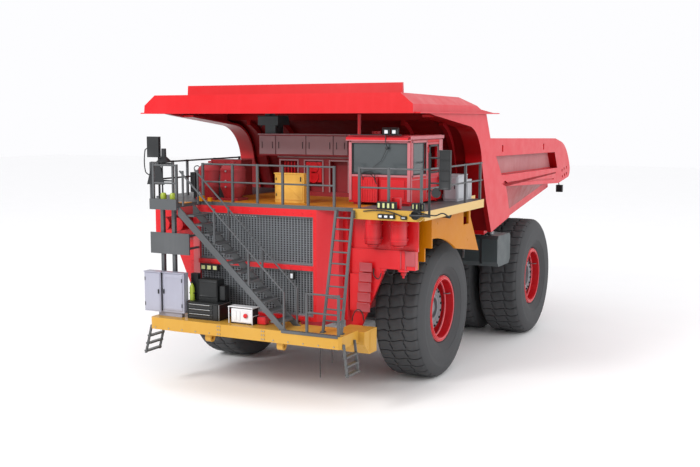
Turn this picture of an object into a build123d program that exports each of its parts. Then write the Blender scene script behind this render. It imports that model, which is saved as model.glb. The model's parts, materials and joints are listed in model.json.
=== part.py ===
"""Rigid electric-drive mining dump truck, about 290 tonnes payload, as separate sub-parts.

Frame: millimetres, origin on the ground in the centre plane below the front axle line,
+X to the driver's left, +Y rearward, +Z up. Every function returns one node's solids.
"""
from build123d import *
from math import atan2, cos, degrees, hypot, radians, sin, sqrt
import os

# ---- driving dimensions -------------------------------------------------------------
WHEELBASE = 6460.0
TYRE_R = 1800.0            # outside radius of the 63-inch tyres
TYRE_HALF_W = 673.0        # half section width
RIM_SEAT_R = 800.0         # bead seat radius
RIM_FLANGE_R = 875.0
RIM_HALF_W = 480.0         # between the flanges
FRONT_WHEEL_X = 2826.0     # tyre centre planes
REAR_OUTER_X = 3320.0
REAR_INNER_X = 1820.0
AXLE_Z = TYRE_R
RUN_GAP = 0.1              # radial running clearance of pins in bores
SEAT_GAP = 0.3             # clearance of a piece that seats on another

RAIL_IN, RAIL_OUT = 600.0, 950.0           # box rails of the frame, |x|
RAIL_X = (RAIL_IN + RAIL_OUT) / 2
RAIL_FRONT = -3250.0
RADIATOR_SEAT_Z = 1899.7                   # top of the rails under the radiator
DECK_LEG_Z = 2500.0                        # top of the rails under the walkway's legs
KINGPIN_X = 1700.0
COLLAR_TOP = 3700.0
PAD_T = 60.0               # rubber pads between the frame's rails and the body's bolsters
STEER_ARM = 800.0                          # steering arm, axis to tie rod pin
TIE_ROD_Z = 1180.0

BODY_PIVOT_Y, BODY_PIVOT_Z = WHEELBASE + 1490, 3350.0
BODY_HALF_W = 3850.0
BODY_FLOOR_HALF_W = BODY_HALF_W - 420
BODY_PLATE = 120.0
FLOOR_SLOPE = 0.145                        # rise of the load floor per unit length
FLOOR_Y0, FLOOR_Z0 = 2460.0, 3590.0        # front lower tip of the body
TAIL_Y = BODY_PIVOT_Y + 2890
HOIST_X = RAIL_OUT + 280.0
HOIST_Y, HOIST_Z = 4100.0, 1300.0          # base pin
HOIST_EYE_Y, HOIST_EYE_Z = 3600.0, 3500.0  # rod eye with the body down

DECK_Z = 4690.0            # top of the walkway
DECK_T = 90.0
DECK_UNDER = DECK_Z - DECK_T
DECK_FRONT = -3455.0
CAB_DECK_FRONT = -3640.0
DECK_HALF_W = 4344.0       # outer edge of the cab's walkway
RIGHT_DECK_W = 3400.0      # outer edge of the right-hand walkway
LANDING_FRONT = -4500.0
LANDING_X0, LANDING_X1 = -2580.0, -1800.0
DECK_SPLIT_X = 2590.0      # where the cab's walkway meets the main one
RAIL_H = 930.0             # handrail above the deck
TUBE_R = 22.0
POST_HALF_W = 27.0

BUMPER_FRONT, BUMPER_BACK = -4478.0, -3560.0
BUMPER_HALF_W = 2672.0
BUMPER_Z0, BUMPER_Z1 = 1546.0, 1840.0
TOW_X, TOW_LUG_W, TOW_BORE_R = 1010.0, 160.0, 45.0

CAB_X0, CAB_X1 = 1940.0, 3560.0
CAB_Y0, CAB_Y1 = -2600.0, -600.0
CAB_Z0 = DECK_Z + 60
CAB_Z1 = CAB_Z0 + 1490
CAB_WALL = 70.0

GRILLE_X0, GRILLE_X1 = -1900.0, 1410.0
GRILLE_Y = -3330.0
POST_LEFT_X, POST_RIGHT_X = 1930.0, 2220.0  # outer faces of the radiator posts, |x|


# ---- shape helpers ------------------------------------------------------------------
def block(x0, x1, y0, y1, z0, z1):
    return Pos((x0 + x1) / 2, (y0 + y1) / 2, (z0 + z1) / 2) * Box(x1 - x0, y1 - y0, z1 - z0)


def outline(points):
    """A face from corner points; a point given as a pair of pairs is an arc (through, to)."""
    edges, here = [], points[0]
    for step in list(points[1:]) + [points[0]]:
        if isinstance(step[0], tuple):
            edges.append(ThreePointArc(here, step[0], step[1]))
            here = step[1]
        elif step != here:
            edges.append(Line(here, step))
            here = step
    return make_face(edges)


def prism_x(points, x0, x1):
    """Extrude a (y, z) outline from x0 to x1."""
    return extrude(Plane.YZ.offset(x0) * outline(points), x1 - x0)


def prism_y(points, y0, y1):
    """Extrude an (x, z) outline from y0 to y1."""
    return extrude(Plane.XZ.offset(-y1) * outline(points), y1 - y0)


def prism_z(points, z0, z1):
    """Extrude an (x, y) outline from z0 to z1."""
    return extrude(Plane.XY.offset(z0) * outline(points), z1 - z0)


def rod(p, q, r):
    """Round bar from point p to point q."""
    a, b = Vector(*p), Vector(*q)
    return extrude(Plane(origin=a, z_dir=b - a) * Circle(r), (b - a).length)


def rod_x(x0, x1, y, z, r):
    return rod((x0, y, z), (x1, y, z), r)


def square_bar(p, q, w):
    a, b = Vector(*p), Vector(*q)
    side = Vector(1, 0, 0) if abs((b - a).Z) > 0.1 * (b - a).length else Vector(0, 0, 1)
    return extrude(Plane(origin=a, x_dir=side.cross(b - a), z_dir=b - a) * Rectangle(w, w), (b - a).length)


def revolve_x(points, x):
    """Turn an (x offset, radius) outline about the X axis line through y=0, z=0 at x."""
    return Pos(x, 0, 0) * revolve(Plane.XY * outline(points), Axis.X)


def whole(result):
    """One shape from what a boolean gives, which may be a list of solids."""
    return Compound(children=list(result)) if isinstance(result, list) else result


def fuse(shapes):
    return whole(shapes[0].fuse(*shapes[1:])) if len(shapes) > 1 else shapes[0]


def cut(shape, tools):
    return whole(shape.cut(*tools))


def common(a, b):
    return whole(a.intersect(b))


def flip(shape):
    return mirror(shape, Plane.YZ)


def both(shape):
    return [shape, flip(shape)]


def solids_of(things):
    out = []
    for thing in things if isinstance(things, (list, tuple)) else [things]:
        out += list(thing.solids())
    return out


def floor_z(y):
    """Underside of the load floor at y."""
    return FLOOR_Z0 + FLOOR_SLOPE * (y - FLOOR_Y0)


# ---- wheels -------------------------------------------------------------------------
def tyre(x):
    w, r = TYRE_HALF_W, TYRE_R
    bead, seat, lip = RIM_HALF_W, RIM_SEAT_R + SEAT_GAP, RIM_FLANGE_R + 12
    wall = r - RIM_SEAT_R
    low, mid, high = r - 0.59 * wall, r - 0.41 * wall, r - 0.18 * wall
    half = [
        (-bead, seat), (bead, seat), (bead, lip),
        ((w - 6, low), (w, mid)), ((w - 25, high), (w - 110, r - 65)),
        ((w - 160, r - 22), (w - 250, r - 8)),
        ((0, r), (250 - w, r - 8)),
        ((160 - w, r - 22), (110 - w, r - 65)),
        ((25 - w, high), (-w, mid)), ((6 - w, low), (-bead, lip)),
    ]
    return revolve_x(half, x)


def rim_barrel(x, thick=34):
    """Five-piece rim drawn as one: bead seats, flanges and the well between them."""
    s, f, h = RIM_SEAT_R, RIM_FLANGE_R, RIM_HALF_W
    pts = [
        (-h - 45, s - thick), (h + 45, s - thick), (h + 45, f - 8), (h + 36, f), (h + 6, f),
        (h + SEAT_GAP, f - 10), (h + SEAT_GAP, s), (-h - SEAT_GAP, s), (-h - SEAT_GAP, f - 10),
        (-h - 6, f), (-h - 36, f), (-h - 45, f - 8),
    ]
    return revolve_x(pts, x)


FRONT_HUB_IN = -360.0      # hub's inner end, from the wheel's centre plane
SPINDLE_R = 210.0


def front_rim(x):
    """Rim with its dished disc and the wheel hub, bored for the spindle."""
    s = RIM_SEAT_R - 34
    disc = revolve_x([(-60, 430), (-60, s - 90), (-140, s + 8), (-60, s + 8), (10, s - 70), (10, 430)], x)
    hub = revolve_x([
        (FRONT_HUB_IN, SPINDLE_R + RUN_GAP), (160, SPINDLE_R + RUN_GAP), (160, 0), (250, 0), (250, 190),
        (220, 235), (120, 235), (90, 330), (60, 430), (-160, 430), (-200, 380), (FRONT_HUB_IN, 360),
    ], x)
    return fuse([rim_barrel(x), disc, hub])


REAR_DRUM_BORE_R = 640.0   # bore of the turning barrel round the wheel motor frame


def rear_rims(x_in, x_out):
    """Two rims on one turning barrel with the planet carrier's cover, open to the motor."""
    s = RIM_SEAT_R - 34
    drum = revolve_x([
        (x_in - 560, REAR_DRUM_BORE_R), (x_in - 560, 690), (x_out + 130, 690), (x_out + 130, 470), (x_out + 215, 420),
        (x_out + 215, 180), (x_out + 250, 160), (x_out + 250, 0), (x_out + 60, 0), (x_out + 60, REAR_DRUM_BORE_R),
    ], 0)
    webs = [
        revolve_x([(-40, 685), (-40, s + 8), (40, s + 8), (40, 685)], x_out - 90),
        revolve_x([(-40, 685), (-40, s + 8), (40, s + 8), (40, 685)], x_in + 120),
    ]
    return fuse([rim_barrel(x_in), rim_barrel(x_out), drum] + webs)


def at_rear(shape):
    return Pos(0, WHEELBASE, AXLE_Z) * shape


def at_front(shape):
    return Pos(0, 0, AXLE_Z) * shape


# ---- front suspension and steering --------------------------------------------------
STRUT_R, STRUT_ROD_R = 255.0, 175.0
STRUT_Z0, STRUT_Z1 = 2140.0, 3420.0
STRUT_BORE_TOP = 2900.0
REAR_STRUT_X, REAR_STRUT_Y = 420.0, WHEELBASE - 1040
REAR_STRUT_FOOT, REAR_STRUT_TOP = 1860.0, 2990.0
STRUT_PIN_R = 55.0
NOSE_HALF_W = 200.0        # axle nose between the frame's ball arms
BALL_TUBE_Y = WHEELBASE - 2860             # cross tube that carries the ball arms


def knuckle():
    """Strut rod, steering arm and the spindle that carries the left wheel."""
    k = KINGPIN_X
    rod_part = rod((k, 0, 1420), (k, 0, STRUT_BORE_TOP - 120), STRUT_ROD_R)
    foot = fuse([
        rod((k, 0, 1330), (k, 0, 2060), 235),
        rod_x(k, FRONT_WHEEL_X + FRONT_HUB_IN - 20, 0, AXLE_Z, 300),
    ])
    spindle = rod_x(k, FRONT_WHEEL_X + 140, 0, AXLE_Z, SPINDLE_R)
    arm = prism_z([
        (k - 140, 0), (k + 140, 0), (k + 90, STEER_ARM), ((k, STEER_ARM + 90), (k - 90, STEER_ARM)),
    ], 1330, 1430)
    pin = rod((k, STEER_ARM, TIE_ROD_Z - 80), (k, STEER_ARM, 1330), 45)
    return fuse([rod_part, foot, spindle, arm, pin])


def tie_rod():
    """Track rod between the two steering arms, with an eye round each arm's pin."""
    k = KINGPIN_X
    parts = [rod_x(-k, k, STEER_ARM, TIE_ROD_Z, 55)]
    for side in (-1, 1):
        parts.append(rod((side * k, STEER_ARM, TIE_ROD_Z - 75), (side * k, STEER_ARM, TIE_ROD_Z + 75), 95))
    bores = [rod((side * k, STEER_ARM, 900), (side * k, STEER_ARM, 1500), 45 + RUN_GAP) for side in (-1, 1)]
    return cut(fuse(parts), bores)


def suspension_cylinders():
    """Front strut barrels on their brackets, and the upright rear suspension cylinders."""
    k = KINGPIN_X
    barrel = fuse([
        rod((k, 0, STRUT_Z0), (k, 0, STRUT_Z1), STRUT_R),
        rod((k, 0, STRUT_Z0), (k, 0, STRUT_Z0 + 110), STRUT_R + 45),
        block(RAIL_OUT + 50, k, -250, 250, 2380, 2560),
        block(RAIL_OUT + 50, k, -250, 250, 3040, 3220),
        block(RAIL_OUT + SEAT_GAP, RAIL_OUT + 60, -330, 330, 2240, 3260),
    ])
    barrel = cut(barrel, [rod((k, 0, STRUT_Z0 - 10), (k, 0, STRUT_BORE_TOP), STRUT_ROD_R + RUN_GAP)])
    x, y = REAR_STRUT_X, REAR_STRUT_Y
    rear = fuse([rod((x, y, 2180), (x, y, 3080), 130), rod((x, y, 1780), (x, y, 2200), 95)])
    rear = cut(rear, [rod_x(x - 300, x + 300, y, z, STRUT_PIN_R + RUN_GAP)
                      for z in (REAR_STRUT_FOOT, REAR_STRUT_TOP)])
    return both(barrel) + both(rear)


# ---- rear axle ----------------------------------------------------------------------
def rear_axle():
    """Axle box with its nose to the frame's ball joint and the two wheel motor frames."""
    box = revolve_x([(-1040, 0), (-1040, 560), (-900, 640), (900, 640), (1040, 560), (1040, 0)], 0)
    motors = [revolve_x([(s * 1000, 0), (s * 1000, 590), (s * (REAR_OUTER_X + 40), 590),
                         (s * (REAR_OUTER_X + 40), 0)], 0) for s in (-1, 1)]
    bearings = [revolve_x([(x - 60, 500), (x - 60, REAR_DRUM_BORE_R - RUN_GAP), (x + 60, REAR_DRUM_BORE_R - RUN_GAP),
                           (x + 60, 500)], 0)
                for s in (-1, 1) for x in (s * (REAR_INNER_X - 300), s * (REAR_OUTER_X - 200))]
    n = NOSE_HALF_W
    nose = prism_z([(-n - 160, -520), (-n, -1650), (-n, -1960), ((0, -1960 - n), (n, -1960)), (n, -1650),
                    (n + 160, -520)], -210, 190)
    x, y, z = REAR_STRUT_X, REAR_STRUT_Y - WHEELBASE, REAR_STRUT_FOOT - AXLE_Z
    ears = [block(x + dx, x + dx + 70, y - 140, -400, z - 140, z + 120) for dx in (-220, 150)]
    pin = rod_x(x - 220, x + 220, y, z, STRUT_PIN_R)
    right = [flip(part) for part in ears + [pin]]
    clear = rod((x, y, -400), (x, y, 500), 145)
    body = cut(fuse([box] + motors + bearings + [nose]), both(clear))
    return at_rear(fuse([body] + ears + [pin] + right))


# ---- frame --------------------------------------------------------------------------
PAD_Y = [3200 + i * (BODY_PIVOT_Y - 4150) / 3 for i in range(4)]   # front edges of the rubber pads


def rail_top(y):
    return floor_z(y) - 640


def main_frame():
    """Two box rails joined by cross tubes, the front collar and the body's rear pivot."""
    slope = atan2(FLOOR_SLOPE, 1)
    end_r = (rail_top(BODY_PIVOT_Y) - BODY_PIVOT_Z) * cos(slope)

    def round_pivot(angle):
        return (BODY_PIVOT_Y + end_r * cos(radians(angle)), BODY_PIVOT_Z + end_r * sin(radians(angle)))

    rail = prism_x([
        (RAIL_FRONT, 1560), (RAIL_FRONT, RADIATOR_SEAT_Z), (-2700, RADIATOR_SEAT_Z), (-1500, 2350),
        (900, DECK_LEG_Z), (1700, DECK_LEG_Z), (2700, rail_top(2700)),
        round_pivot(90 + degrees(slope)), (round_pivot(45), round_pivot(0)),
        (round_pivot(-45), round_pivot(-90)), (BODY_PIVOT_Y - 950, 2560),
        (WHEELBASE - 1160, 2560), (WHEELBASE - 1760, 2150), (WHEELBASE - 3060, 1640), (2000, 1480), (-1500, 1480),
    ], RAIL_IN, RAIL_OUT)
    collar = fuse([
        block(RAIL_IN, RAIL_OUT, -330, 330, 2200, COLLAR_TOP),
        block(-RAIL_OUT, -RAIL_IN, -330, 330, 2200, COLLAR_TOP),
        block(-RAIL_OUT, RAIL_OUT, -280, 280, 3000, 3320),
    ])
    pads = [prism_x([(y, rail_top(y) - 5), (y + 300, rail_top(y + 300) - 5),
                     (y + 300, rail_top(y + 300) + PAD_T - SEAT_GAP), (y, rail_top(y) + PAD_T - SEAT_GAP)],
                    RAIL_IN + 30, RAIL_OUT - 30) for y in PAD_Y]
    cross = [
        block(-RAIL_IN - 10, RAIL_IN + 10, RAIL_FRONT + 20, -2900, 1600, RADIATOR_SEAT_Z),
        rod_x(-RAIL_IN - 10, RAIL_IN + 10, BALL_TUBE_Y, 2050, 260),
        rod_x(-RAIL_IN - 10, RAIL_IN + 10, REAR_STRUT_Y, REAR_STRUT_TOP + 240, 135),
        rod_x(-RAIL_IN - 10, RAIL_IN + 10, BODY_PIVOT_Y - 650, 3100, 260),
    ]
    hoist_boss = [rod_x(RAIL_OUT - 10, HOIST_X + 150, HOIST_Y, HOIST_Z, 90),
                  prism_x([(HOIST_Y - 400, 1900), (HOIST_Y + 400, 2200), (HOIST_Y + 250, HOIST_Z - 50),
                           ((HOIST_Y, HOIST_Z - 220), (HOIST_Y - 250, HOIST_Z - 50))],
                          RAIL_OUT - 100, RAIL_OUT + 60)]
    sides = [rail] + hoist_boss + pads
    joined = fuse([collar] + cross + sides + [flip(s) for s in sides])
    arm = block(NOSE_HALF_W + SEAT_GAP, NOSE_HALF_W + 100, BALL_TUBE_Y + 40, BALL_TUBE_Y + 1020, 1640, 2100)
    ear = block(REAR_STRUT_X - 220, REAR_STRUT_X - 150, REAR_STRUT_Y - 110, REAR_STRUT_Y + 110,
                REAR_STRUT_TOP - 110, REAR_STRUT_TOP + 210)
    pin = rod_x(REAR_STRUT_X - 220, RAIL_IN + 10, REAR_STRUT_Y, REAR_STRUT_TOP, STRUT_PIN_R)
    hang = [arm, flip(arm), ear, flip(ear)]
    pins = [pin, flip(pin)]
    body_pin = rod_x(-RAIL_IN - 10, RAIL_IN + 10, BODY_PIVOT_Y, BODY_PIVOT_Z, 110)
    return fuse([joined, body_pin] + hang + pins)


def front_bumper():
    """Folded box bumper with side boxes that run back and one tow lug below each side."""
    x, y0, y1, z0 = BUMPER_HALF_W, BUMPER_FRONT, BUMPER_BACK, BUMPER_Z0
    beam = prism_z([
        (-x, y0 + 60), (-x + 60, y0), (x - 60, y0), (x, y0 + 60), (x, y1), (-x, y1),
    ], z0, BUMPER_Z1)
    side_box = prism_x([(y1 - 10, BUMPER_Z1 - 40), (y1 - 10, z0 - 46), (-3300, 1230), (-2900, 1230),
                        (-2900, BUMPER_Z1 - 40)], 2120, 2830)
    y_eye, z_eye = y0 + 200, z0 - 105
    lug = prism_x([(y_eye - 100, z0 + 5), (y_eye - 100, z_eye), ((y_eye, z_eye - 100), (y_eye + 100, z_eye)),
                   (y_eye + 280, z0 + 5)], TOW_X - TOW_LUG_W / 2, TOW_X + TOW_LUG_W / 2)
    lug = cut(lug, [rod_x(TOW_X - TOW_LUG_W, TOW_X + TOW_LUG_W, y_eye, z_eye, TOW_BORE_R)])
    bracket = block(RAIL_X - 175, RAIL_X + 175, y1 - 10, RAIL_FRONT - SEAT_GAP, 1600, BUMPER_Z1 - 20)
    return fuse([beam] + both(side_box) + both(lug) + both(bracket))


# ---- power unit, radiator and front panels ------------------------------------------
SCREEN_FOOT = 1995.0       # lower edge of the grille screens
SCREEN_TOP = DECK_UNDER - 180
MID_BEAM = (3120.0, 3235.0)


def power_unit():
    """Diesel engine and alternator as one heavy block, and the radiator core."""
    engine = block(-560, 560, -2500, 2200, 1700, 3560)
    mounts = [block(s * 577 - 22.7, s * 577 + 22.7, y, y + 200, 1800, 1960) for s in (-1, 1) for y in (-1900, 1400)]
    engine = cut(engine, [block(-600, 600, -330, 330, 2950, 3700)])
    engine = fuse([engine] + mounts)
    return [engine, block(GRILLE_X0 + 20, GRILLE_X1 - 20, GRILLE_Y + 160, GRILLE_Y + 420, SCREEN_FOOT + SEAT_GAP, 4300)]


def radiator_frame():
    """Red frame round the radiator: two posts, top, middle and bottom beams."""
    y0, y1 = GRILLE_Y - 120, GRILLE_Y + 560
    x0, x1 = GRILLE_X0 - 10, GRILLE_X1 + 10
    xl, xr = POST_LEFT_X, -POST_RIGHT_X
    z0, z1 = RADIATOR_SEAT_Z + SEAT_GAP, DECK_UNDER - SEAT_GAP
    post_l = prism_z([(GRILLE_X1, y0), (GRILLE_X1 + 90, y0), (xl, y0 + 330), (xl, y1), (GRILLE_X1, y1)], z0, z1)
    post_r = prism_z([(GRILLE_X0, y0 + 60), (GRILLE_X0, y1), (xr, y1), (xr, y0 + 240)], z0, z1)
    beams = [
        block(x0, x1, y0, y0 + 200, SCREEN_TOP, z1),
        block(x0, x1, y0 + 10, y0 + 110, *MID_BEAM),
        block(x0, x1, y0, y1, z0, SCREEN_FOOT),
        block(x0, x1, y1 - 120, y1, SCREEN_TOP - 100, z1),
    ]
    return fuse([post_l, post_r] + beams)


def radiator_grille():
    """Upper and lower screens of upright bars in a light frame."""
    y0, y1 = GRILLE_Y + 20, GRILLE_Y + 50
    screens = []
    for z0, z1 in ((SCREEN_FOOT + SEAT_GAP, MID_BEAM[0] - SEAT_GAP), (MID_BEAM[1] + SEAT_GAP, SCREEN_TOP - SEAT_GAP)):
        bars = [block(GRILLE_X0 + SEAT_GAP, GRILLE_X1 - SEAT_GAP, y0 - 10, y1 + 10, z, z + 40)
                for z in (z0, z1 - 40)]
        n, half = 40, 13
        first, last = GRILLE_X0 + SEAT_GAP + half, GRILLE_X1 - SEAT_GAP - half
        for i in range(n + 1):
            x = first + (last - first) * i / n
            bars.append(block(x - half, x + half, y0, y1, z0 + 5, z1 - 5))
        screens.append(fuse(bars))
    return screens


def shroud(x0):
    """One side panel from the radiator post at x0 outwards."""
    top = DECK_UNDER - SEAT_GAP
    return fuse([
        block(x0, 3760, -2760, -2600, 3200, 3650),
        prism_y([(x0, 1480), (2240, 1480), (3000, 3210), (x0, 3210)], -2760, -2680),
        block(x0, x0 + 120, -2900, -2600, 1900, top),
        block(x0 + 100, 3800, -2700, -2640, 3640, top),
        prism_y([(x0 + 150, 2140), (2500, 2140), (2600, 3040), (x0 + 150, 3040)], -2830, -2750),
    ])


def front_shrouds():
    """Red side panels ahead of the front wheels, stepped in above and sloped outboard."""
    return [shroud(POST_LEFT_X + SEAT_GAP), flip(shroud(POST_RIGHT_X + SEAT_GAP))]


FENDER_X = 3950.0          # side plates outboard of the steered tyres' reach


def front_fenders():
    """Yellow side plates under the walkways' edges with stepped plates ahead of the tyres."""
    x0, x1, y0, y1 = FENDER_X, FENDER_X + 60, -2380, 290
    top = DECK_UNDER - SEAT_GAP
    plate = prism_x([
        (y0, top), (y0, 3920), (-2250, 3920), ((-1490, 3810), (-740, 3510)), (950, 3270), (y1, 4220), (y1, top),
    ], x0, x1)
    plate = cut(plate, [block(x0 - 1, x1 + 1, -230, 160, 4060, 4400)])
    front = prism_y([
        (3110, top), (3110, 3160), (3660, 3160), (3660, 3370), (3830, 3370), (3830, 3700), (x1, 3700), (x1, top),
    ], y0, y0 + 60)
    ribs = [block(3300, x0 + 5, y, y + 40, top - 380, top) for y in (-1500, -700, y1 - 40)]
    return both(fuse([plate, front] + ribs))


# ---- tanks between the wheels -------------------------------------------------------
def side_tank():
    """Tank between front and rear wheels, hung on an arm from the frame rail."""
    y0, z0 = WHEELBASE - 3220, 2480
    shell = prism_x([(y0, z0 + 140), (y0 + 140, z0), (y0 + 1060, z0), (y0 + 1200, z0 + 140), (y0 + 1200, z0 + 800),
                     (y0 + 1100, z0 + 900), (y0 + 100, z0 + 900), (y0, z0 + 800)], HOIST_X + 330, 3780)
    arm = block(RAIL_OUT + SEAT_GAP, HOIST_X + 340, y0 + 10, y0 + 260, z0 + 60, z0 + 280)
    return fuse([shell, arm])


# ---- decks --------------------------------------------------------------------------
def main_deck():
    """Centre and right-hand walkway, with the landing at the head of the stairs."""
    lx0, lx1, w, f = LANDING_X0, LANDING_X1, RIGHT_DECK_W, DECK_FRONT
    plan = [
        (DECK_SPLIT_X, f), (lx1, f), (lx1, LANDING_FRONT + 20), (lx0, LANDING_FRONT + 20), (lx0, f - 200),
        (-3240, f - 200), (-w, f), (-w, 1500), (DECK_SPLIT_X, 1500),
    ]
    plate = prism_z(plan, DECK_UNDER, DECK_Z)
    lip = block(lx0 - 10, lx1 + 10, LANDING_FRONT, LANDING_FRONT + 60, DECK_UNDER - 60, DECK_Z + 110)
    wing = block(-FENDER_X - 60, 10 - w, -2380, 360, DECK_UNDER, DECK_Z - 20)
    return fuse([plate, lip, wing])


def cab_deck():
    """Left-hand walkway round the cab with its yellow front and side beams."""
    x0, w, f = DECK_SPLIT_X + SEAT_GAP, DECK_HALF_W, CAB_DECK_FRONT
    plate = prism_z([
        (x0, f), (w - 40, f), (w, f + 40), (w, 360), (3700, 360), (3700, 1500), (x0, 1500),
    ], DECK_UNDER, DECK_Z)
    z = DECK_UNDER - 140
    front = prism_y([(x0 + 10, z), (w - 110, z), (w + 26, z + 110), (w + 26, DECK_Z + 10), (x0 + 10, DECK_Z + 10)],
                    f - 60, f + 20)
    side = block(w - 80, w, f + 10, 360, DECK_UNDER - 120, DECK_UNDER + 10)
    return fuse([plate, front, side])


def deck_supports():
    """Posts and brackets that carry the walkways on the bumper, shrouds and frame."""
    top = DECK_UNDER - SEAT_GAP
    z_arm = DECK_Z - 590
    x0, x1 = RAIL_OUT + SEAT_GAP, 3380
    z0 = DECK_LEG_Z + SEAT_GAP
    leg = fuse([block(RAIL_X - 100, RAIL_X + 100, 1150, 1350, z0, top),
                block(RAIL_X - 160, RAIL_X + 160, 1100, 1400, z0, z0 + 50)])
    arm = fuse([block(x0, x1, -200, 200, z_arm, z_arm + 200),
                block(x0, x0 + 210, -200, 200, 3330, z_arm + 100),
                block(x1 - 180, x1, -200, 200, z_arm + 100, top)])
    posts = [block(x - 45, x + 45, -4080, -3990, BUMPER_Z1 + SEAT_GAP, top) for x in (-2540, -2200)]
    return posts + both(leg) + both(arm)


def railing(points, posts, base=DECK_Z):
    """Two rails along a route of (x, y) corners with square posts at given places."""
    parts = []
    for z in (base + RAIL_H, base + RAIL_H * 0.53):
        for a, b in zip(points, points[1:]):
            parts.append(rod((*a, z), (*b, z), TUBE_R))
    w = POST_HALF_W
    for x, y in posts:
        parts.append(block(x - w, x + w, y - w, y + w, base + SEAT_GAP, base + RAIL_H + w))
    return fuse(parts)


def handrails():
    """Guard rails along the outer edges of the walkways and the bumper."""
    f, w, c = DECK_FRONT + 45, DECK_HALF_W - 45, CAB_DECK_FRONT + 60
    r = 45 - RIGHT_DECK_W
    front = [(x, f) for x in (-1755, -870, -150, 560, 1260, 1960)]
    landing = [(LANDING_X0 + 45, LANDING_FRONT + 110), (LANDING_X1 - 45, LANDING_FRONT + 110)]
    right = [(LANDING_X0 + 45, f - 190), (-3220, f - 190), (r, f + 30), (r, 740)]
    left = [(2700, c), (w - 60, c), (w, c + 60), (w, 300)]
    step = [(1780, BUMPER_FRONT + 40), (2600, BUMPER_FRONT + 40)]
    return [
        railing([front[0], front[-1]], front),
        railing(landing, landing),
        railing(right, right + [(r, -2500), (r, -1850), (r, -550)]),
        railing(left, [left[0], (3440, c), left[1], (w, -920), (w, 160)]),
        railing(step, step, BUMPER_Z1),
    ]


# ---- stairs and ladders -------------------------------------------------------------
STAIR_FOOT = (1050.0, BUMPER_Z1)
STAIR_HEAD = (LANDING_X1, DECK_Z - 20)
STAIR_Y0, STAIR_Y1 = -4420.0, -3760.0


def diagonal_stair():
    """Flight across the radiator from the bumper to the landing, with its handrails."""
    (x0, z0), (x1, z1) = STAIR_FOOT, STAIR_HEAD
    run, rise = x1 - x0, z1 - z0
    n = 12
    z0 += SEAT_GAP
    parts = []
    for y in (STAIR_Y0, STAIR_Y1 - 40):
        parts.append(prism_y([(x0, z0), (x0 + 190, z0), (x1 + SEAT_GAP, z1 - 20), (x1 + SEAT_GAP, z1 - 260)],
                             y, y + 40))
    for i in range(1, n + 1):
        t = (i - 0.3) / (n + 1)
        x, z = x0 + run * t, z0 + rise * t
        parts.append(block(x - 110, x + 170, STAIR_Y0 + 30, STAIR_Y1 - 30, z, z + 40))
    for y in (STAIR_Y0 + 20, STAIR_Y1 - 20):
        a, b = (x0 + 100, y, z0 + 900), (x1 + 60, y, z1 + 820)
        parts.append(rod(a, b, TUBE_R))
        for t in (0.0, 0.33, 0.66, 0.97):
            x, z = x0 + 100 + (run - 40) * t, z0 + 60 + rise * t
            parts.append(block(x - 20, x + 20, y - 20, y + 20, z, z + 850))
    return fuse(parts)


def front_ladder():
    """Steep ladder beside the radiator from the bumper to the cab walkway."""
    foot, head = (-4180.0, BUMPER_Z1 + SEAT_GAP), (-3780.0, DECK_Z - 50)
    parts = []
    for x in (2060, 2540):
        dx = 140 if x < 2300 else 90
        parts.append(square_bar((x, foot[0], foot[1] + 20), (x + dx, head[0], head[1]), 55))
        parts.append(block(x - 50, x + 50, foot[0] - 60, foot[0] + 60, foot[1], foot[1] + 30))
    n = 10
    for i in range(1, n + 1):
        t = i / (n + 0.6)
        y, z = foot[0] + (head[0] - foot[0]) * t, foot[1] + 20 + (head[1] - foot[1] - 20) * t
        parts.append(rod((2060 + 140 * t, y, z), (2540 + 90 * t, y, z), 20))
    for x in (2200, 2540 + 90):
        parts.append(block(x - 25, x + 25, -3790, CAB_DECK_FRONT - 60 - SEAT_GAP, DECK_Z - 210, DECK_Z - 30))
    return fuse(parts)


def hanging_steps():
    """Step ladders hung from both ends of the bumper, with their rungs fore and aft."""
    out = []
    y0, y1 = BUMPER_FRONT + 80, BUMPER_FRONT + 680
    x = BUMPER_HALF_W + SEAT_GAP + 25
    for top, foot_x, foot_z in ((BUMPER_Z1 - 180, 2790, 900), (BUMPER_Z1 - 220, 2900, 880)):
        strap = [(x - 25, top), (x + 25, top), (foot_x + 25, foot_z), (foot_x - 25, foot_z)]
        parts = [prism_y(strap, y, y + 45) for y in (y0, y1 - 45)]
        for t in (0.42, 0.69, 0.96):
            xr, z = x + (foot_x - x) * t, top + (foot_z - top) * t
            parts.append(block(xr - 55, xr + 55, y0 + 20, y1 - 20, z, z + 40))
        out.append(fuse(parts))
    return [out[0], flip(out[1])]


# ---- cab ----------------------------------------------------------------------------
DOOR_Y0, DOOR_Y1 = -1580.0, -850.0
DOOR_Z0, DOOR_Z1 = CAB_Z0 + 90, CAB_Z1 - 60
SCREEN_X = (CAB_X0 + 90, CAB_X1 - 90)
DOOR_T = 60.0
DOOR_GAP = 8.0
HINGE_Z = (CAB_Z0 + 270, CAB_Z1 - 240)
WIN_Z0, WIN_Z1 = CAB_Z0 + 680, CAB_Z1 - 70


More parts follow.
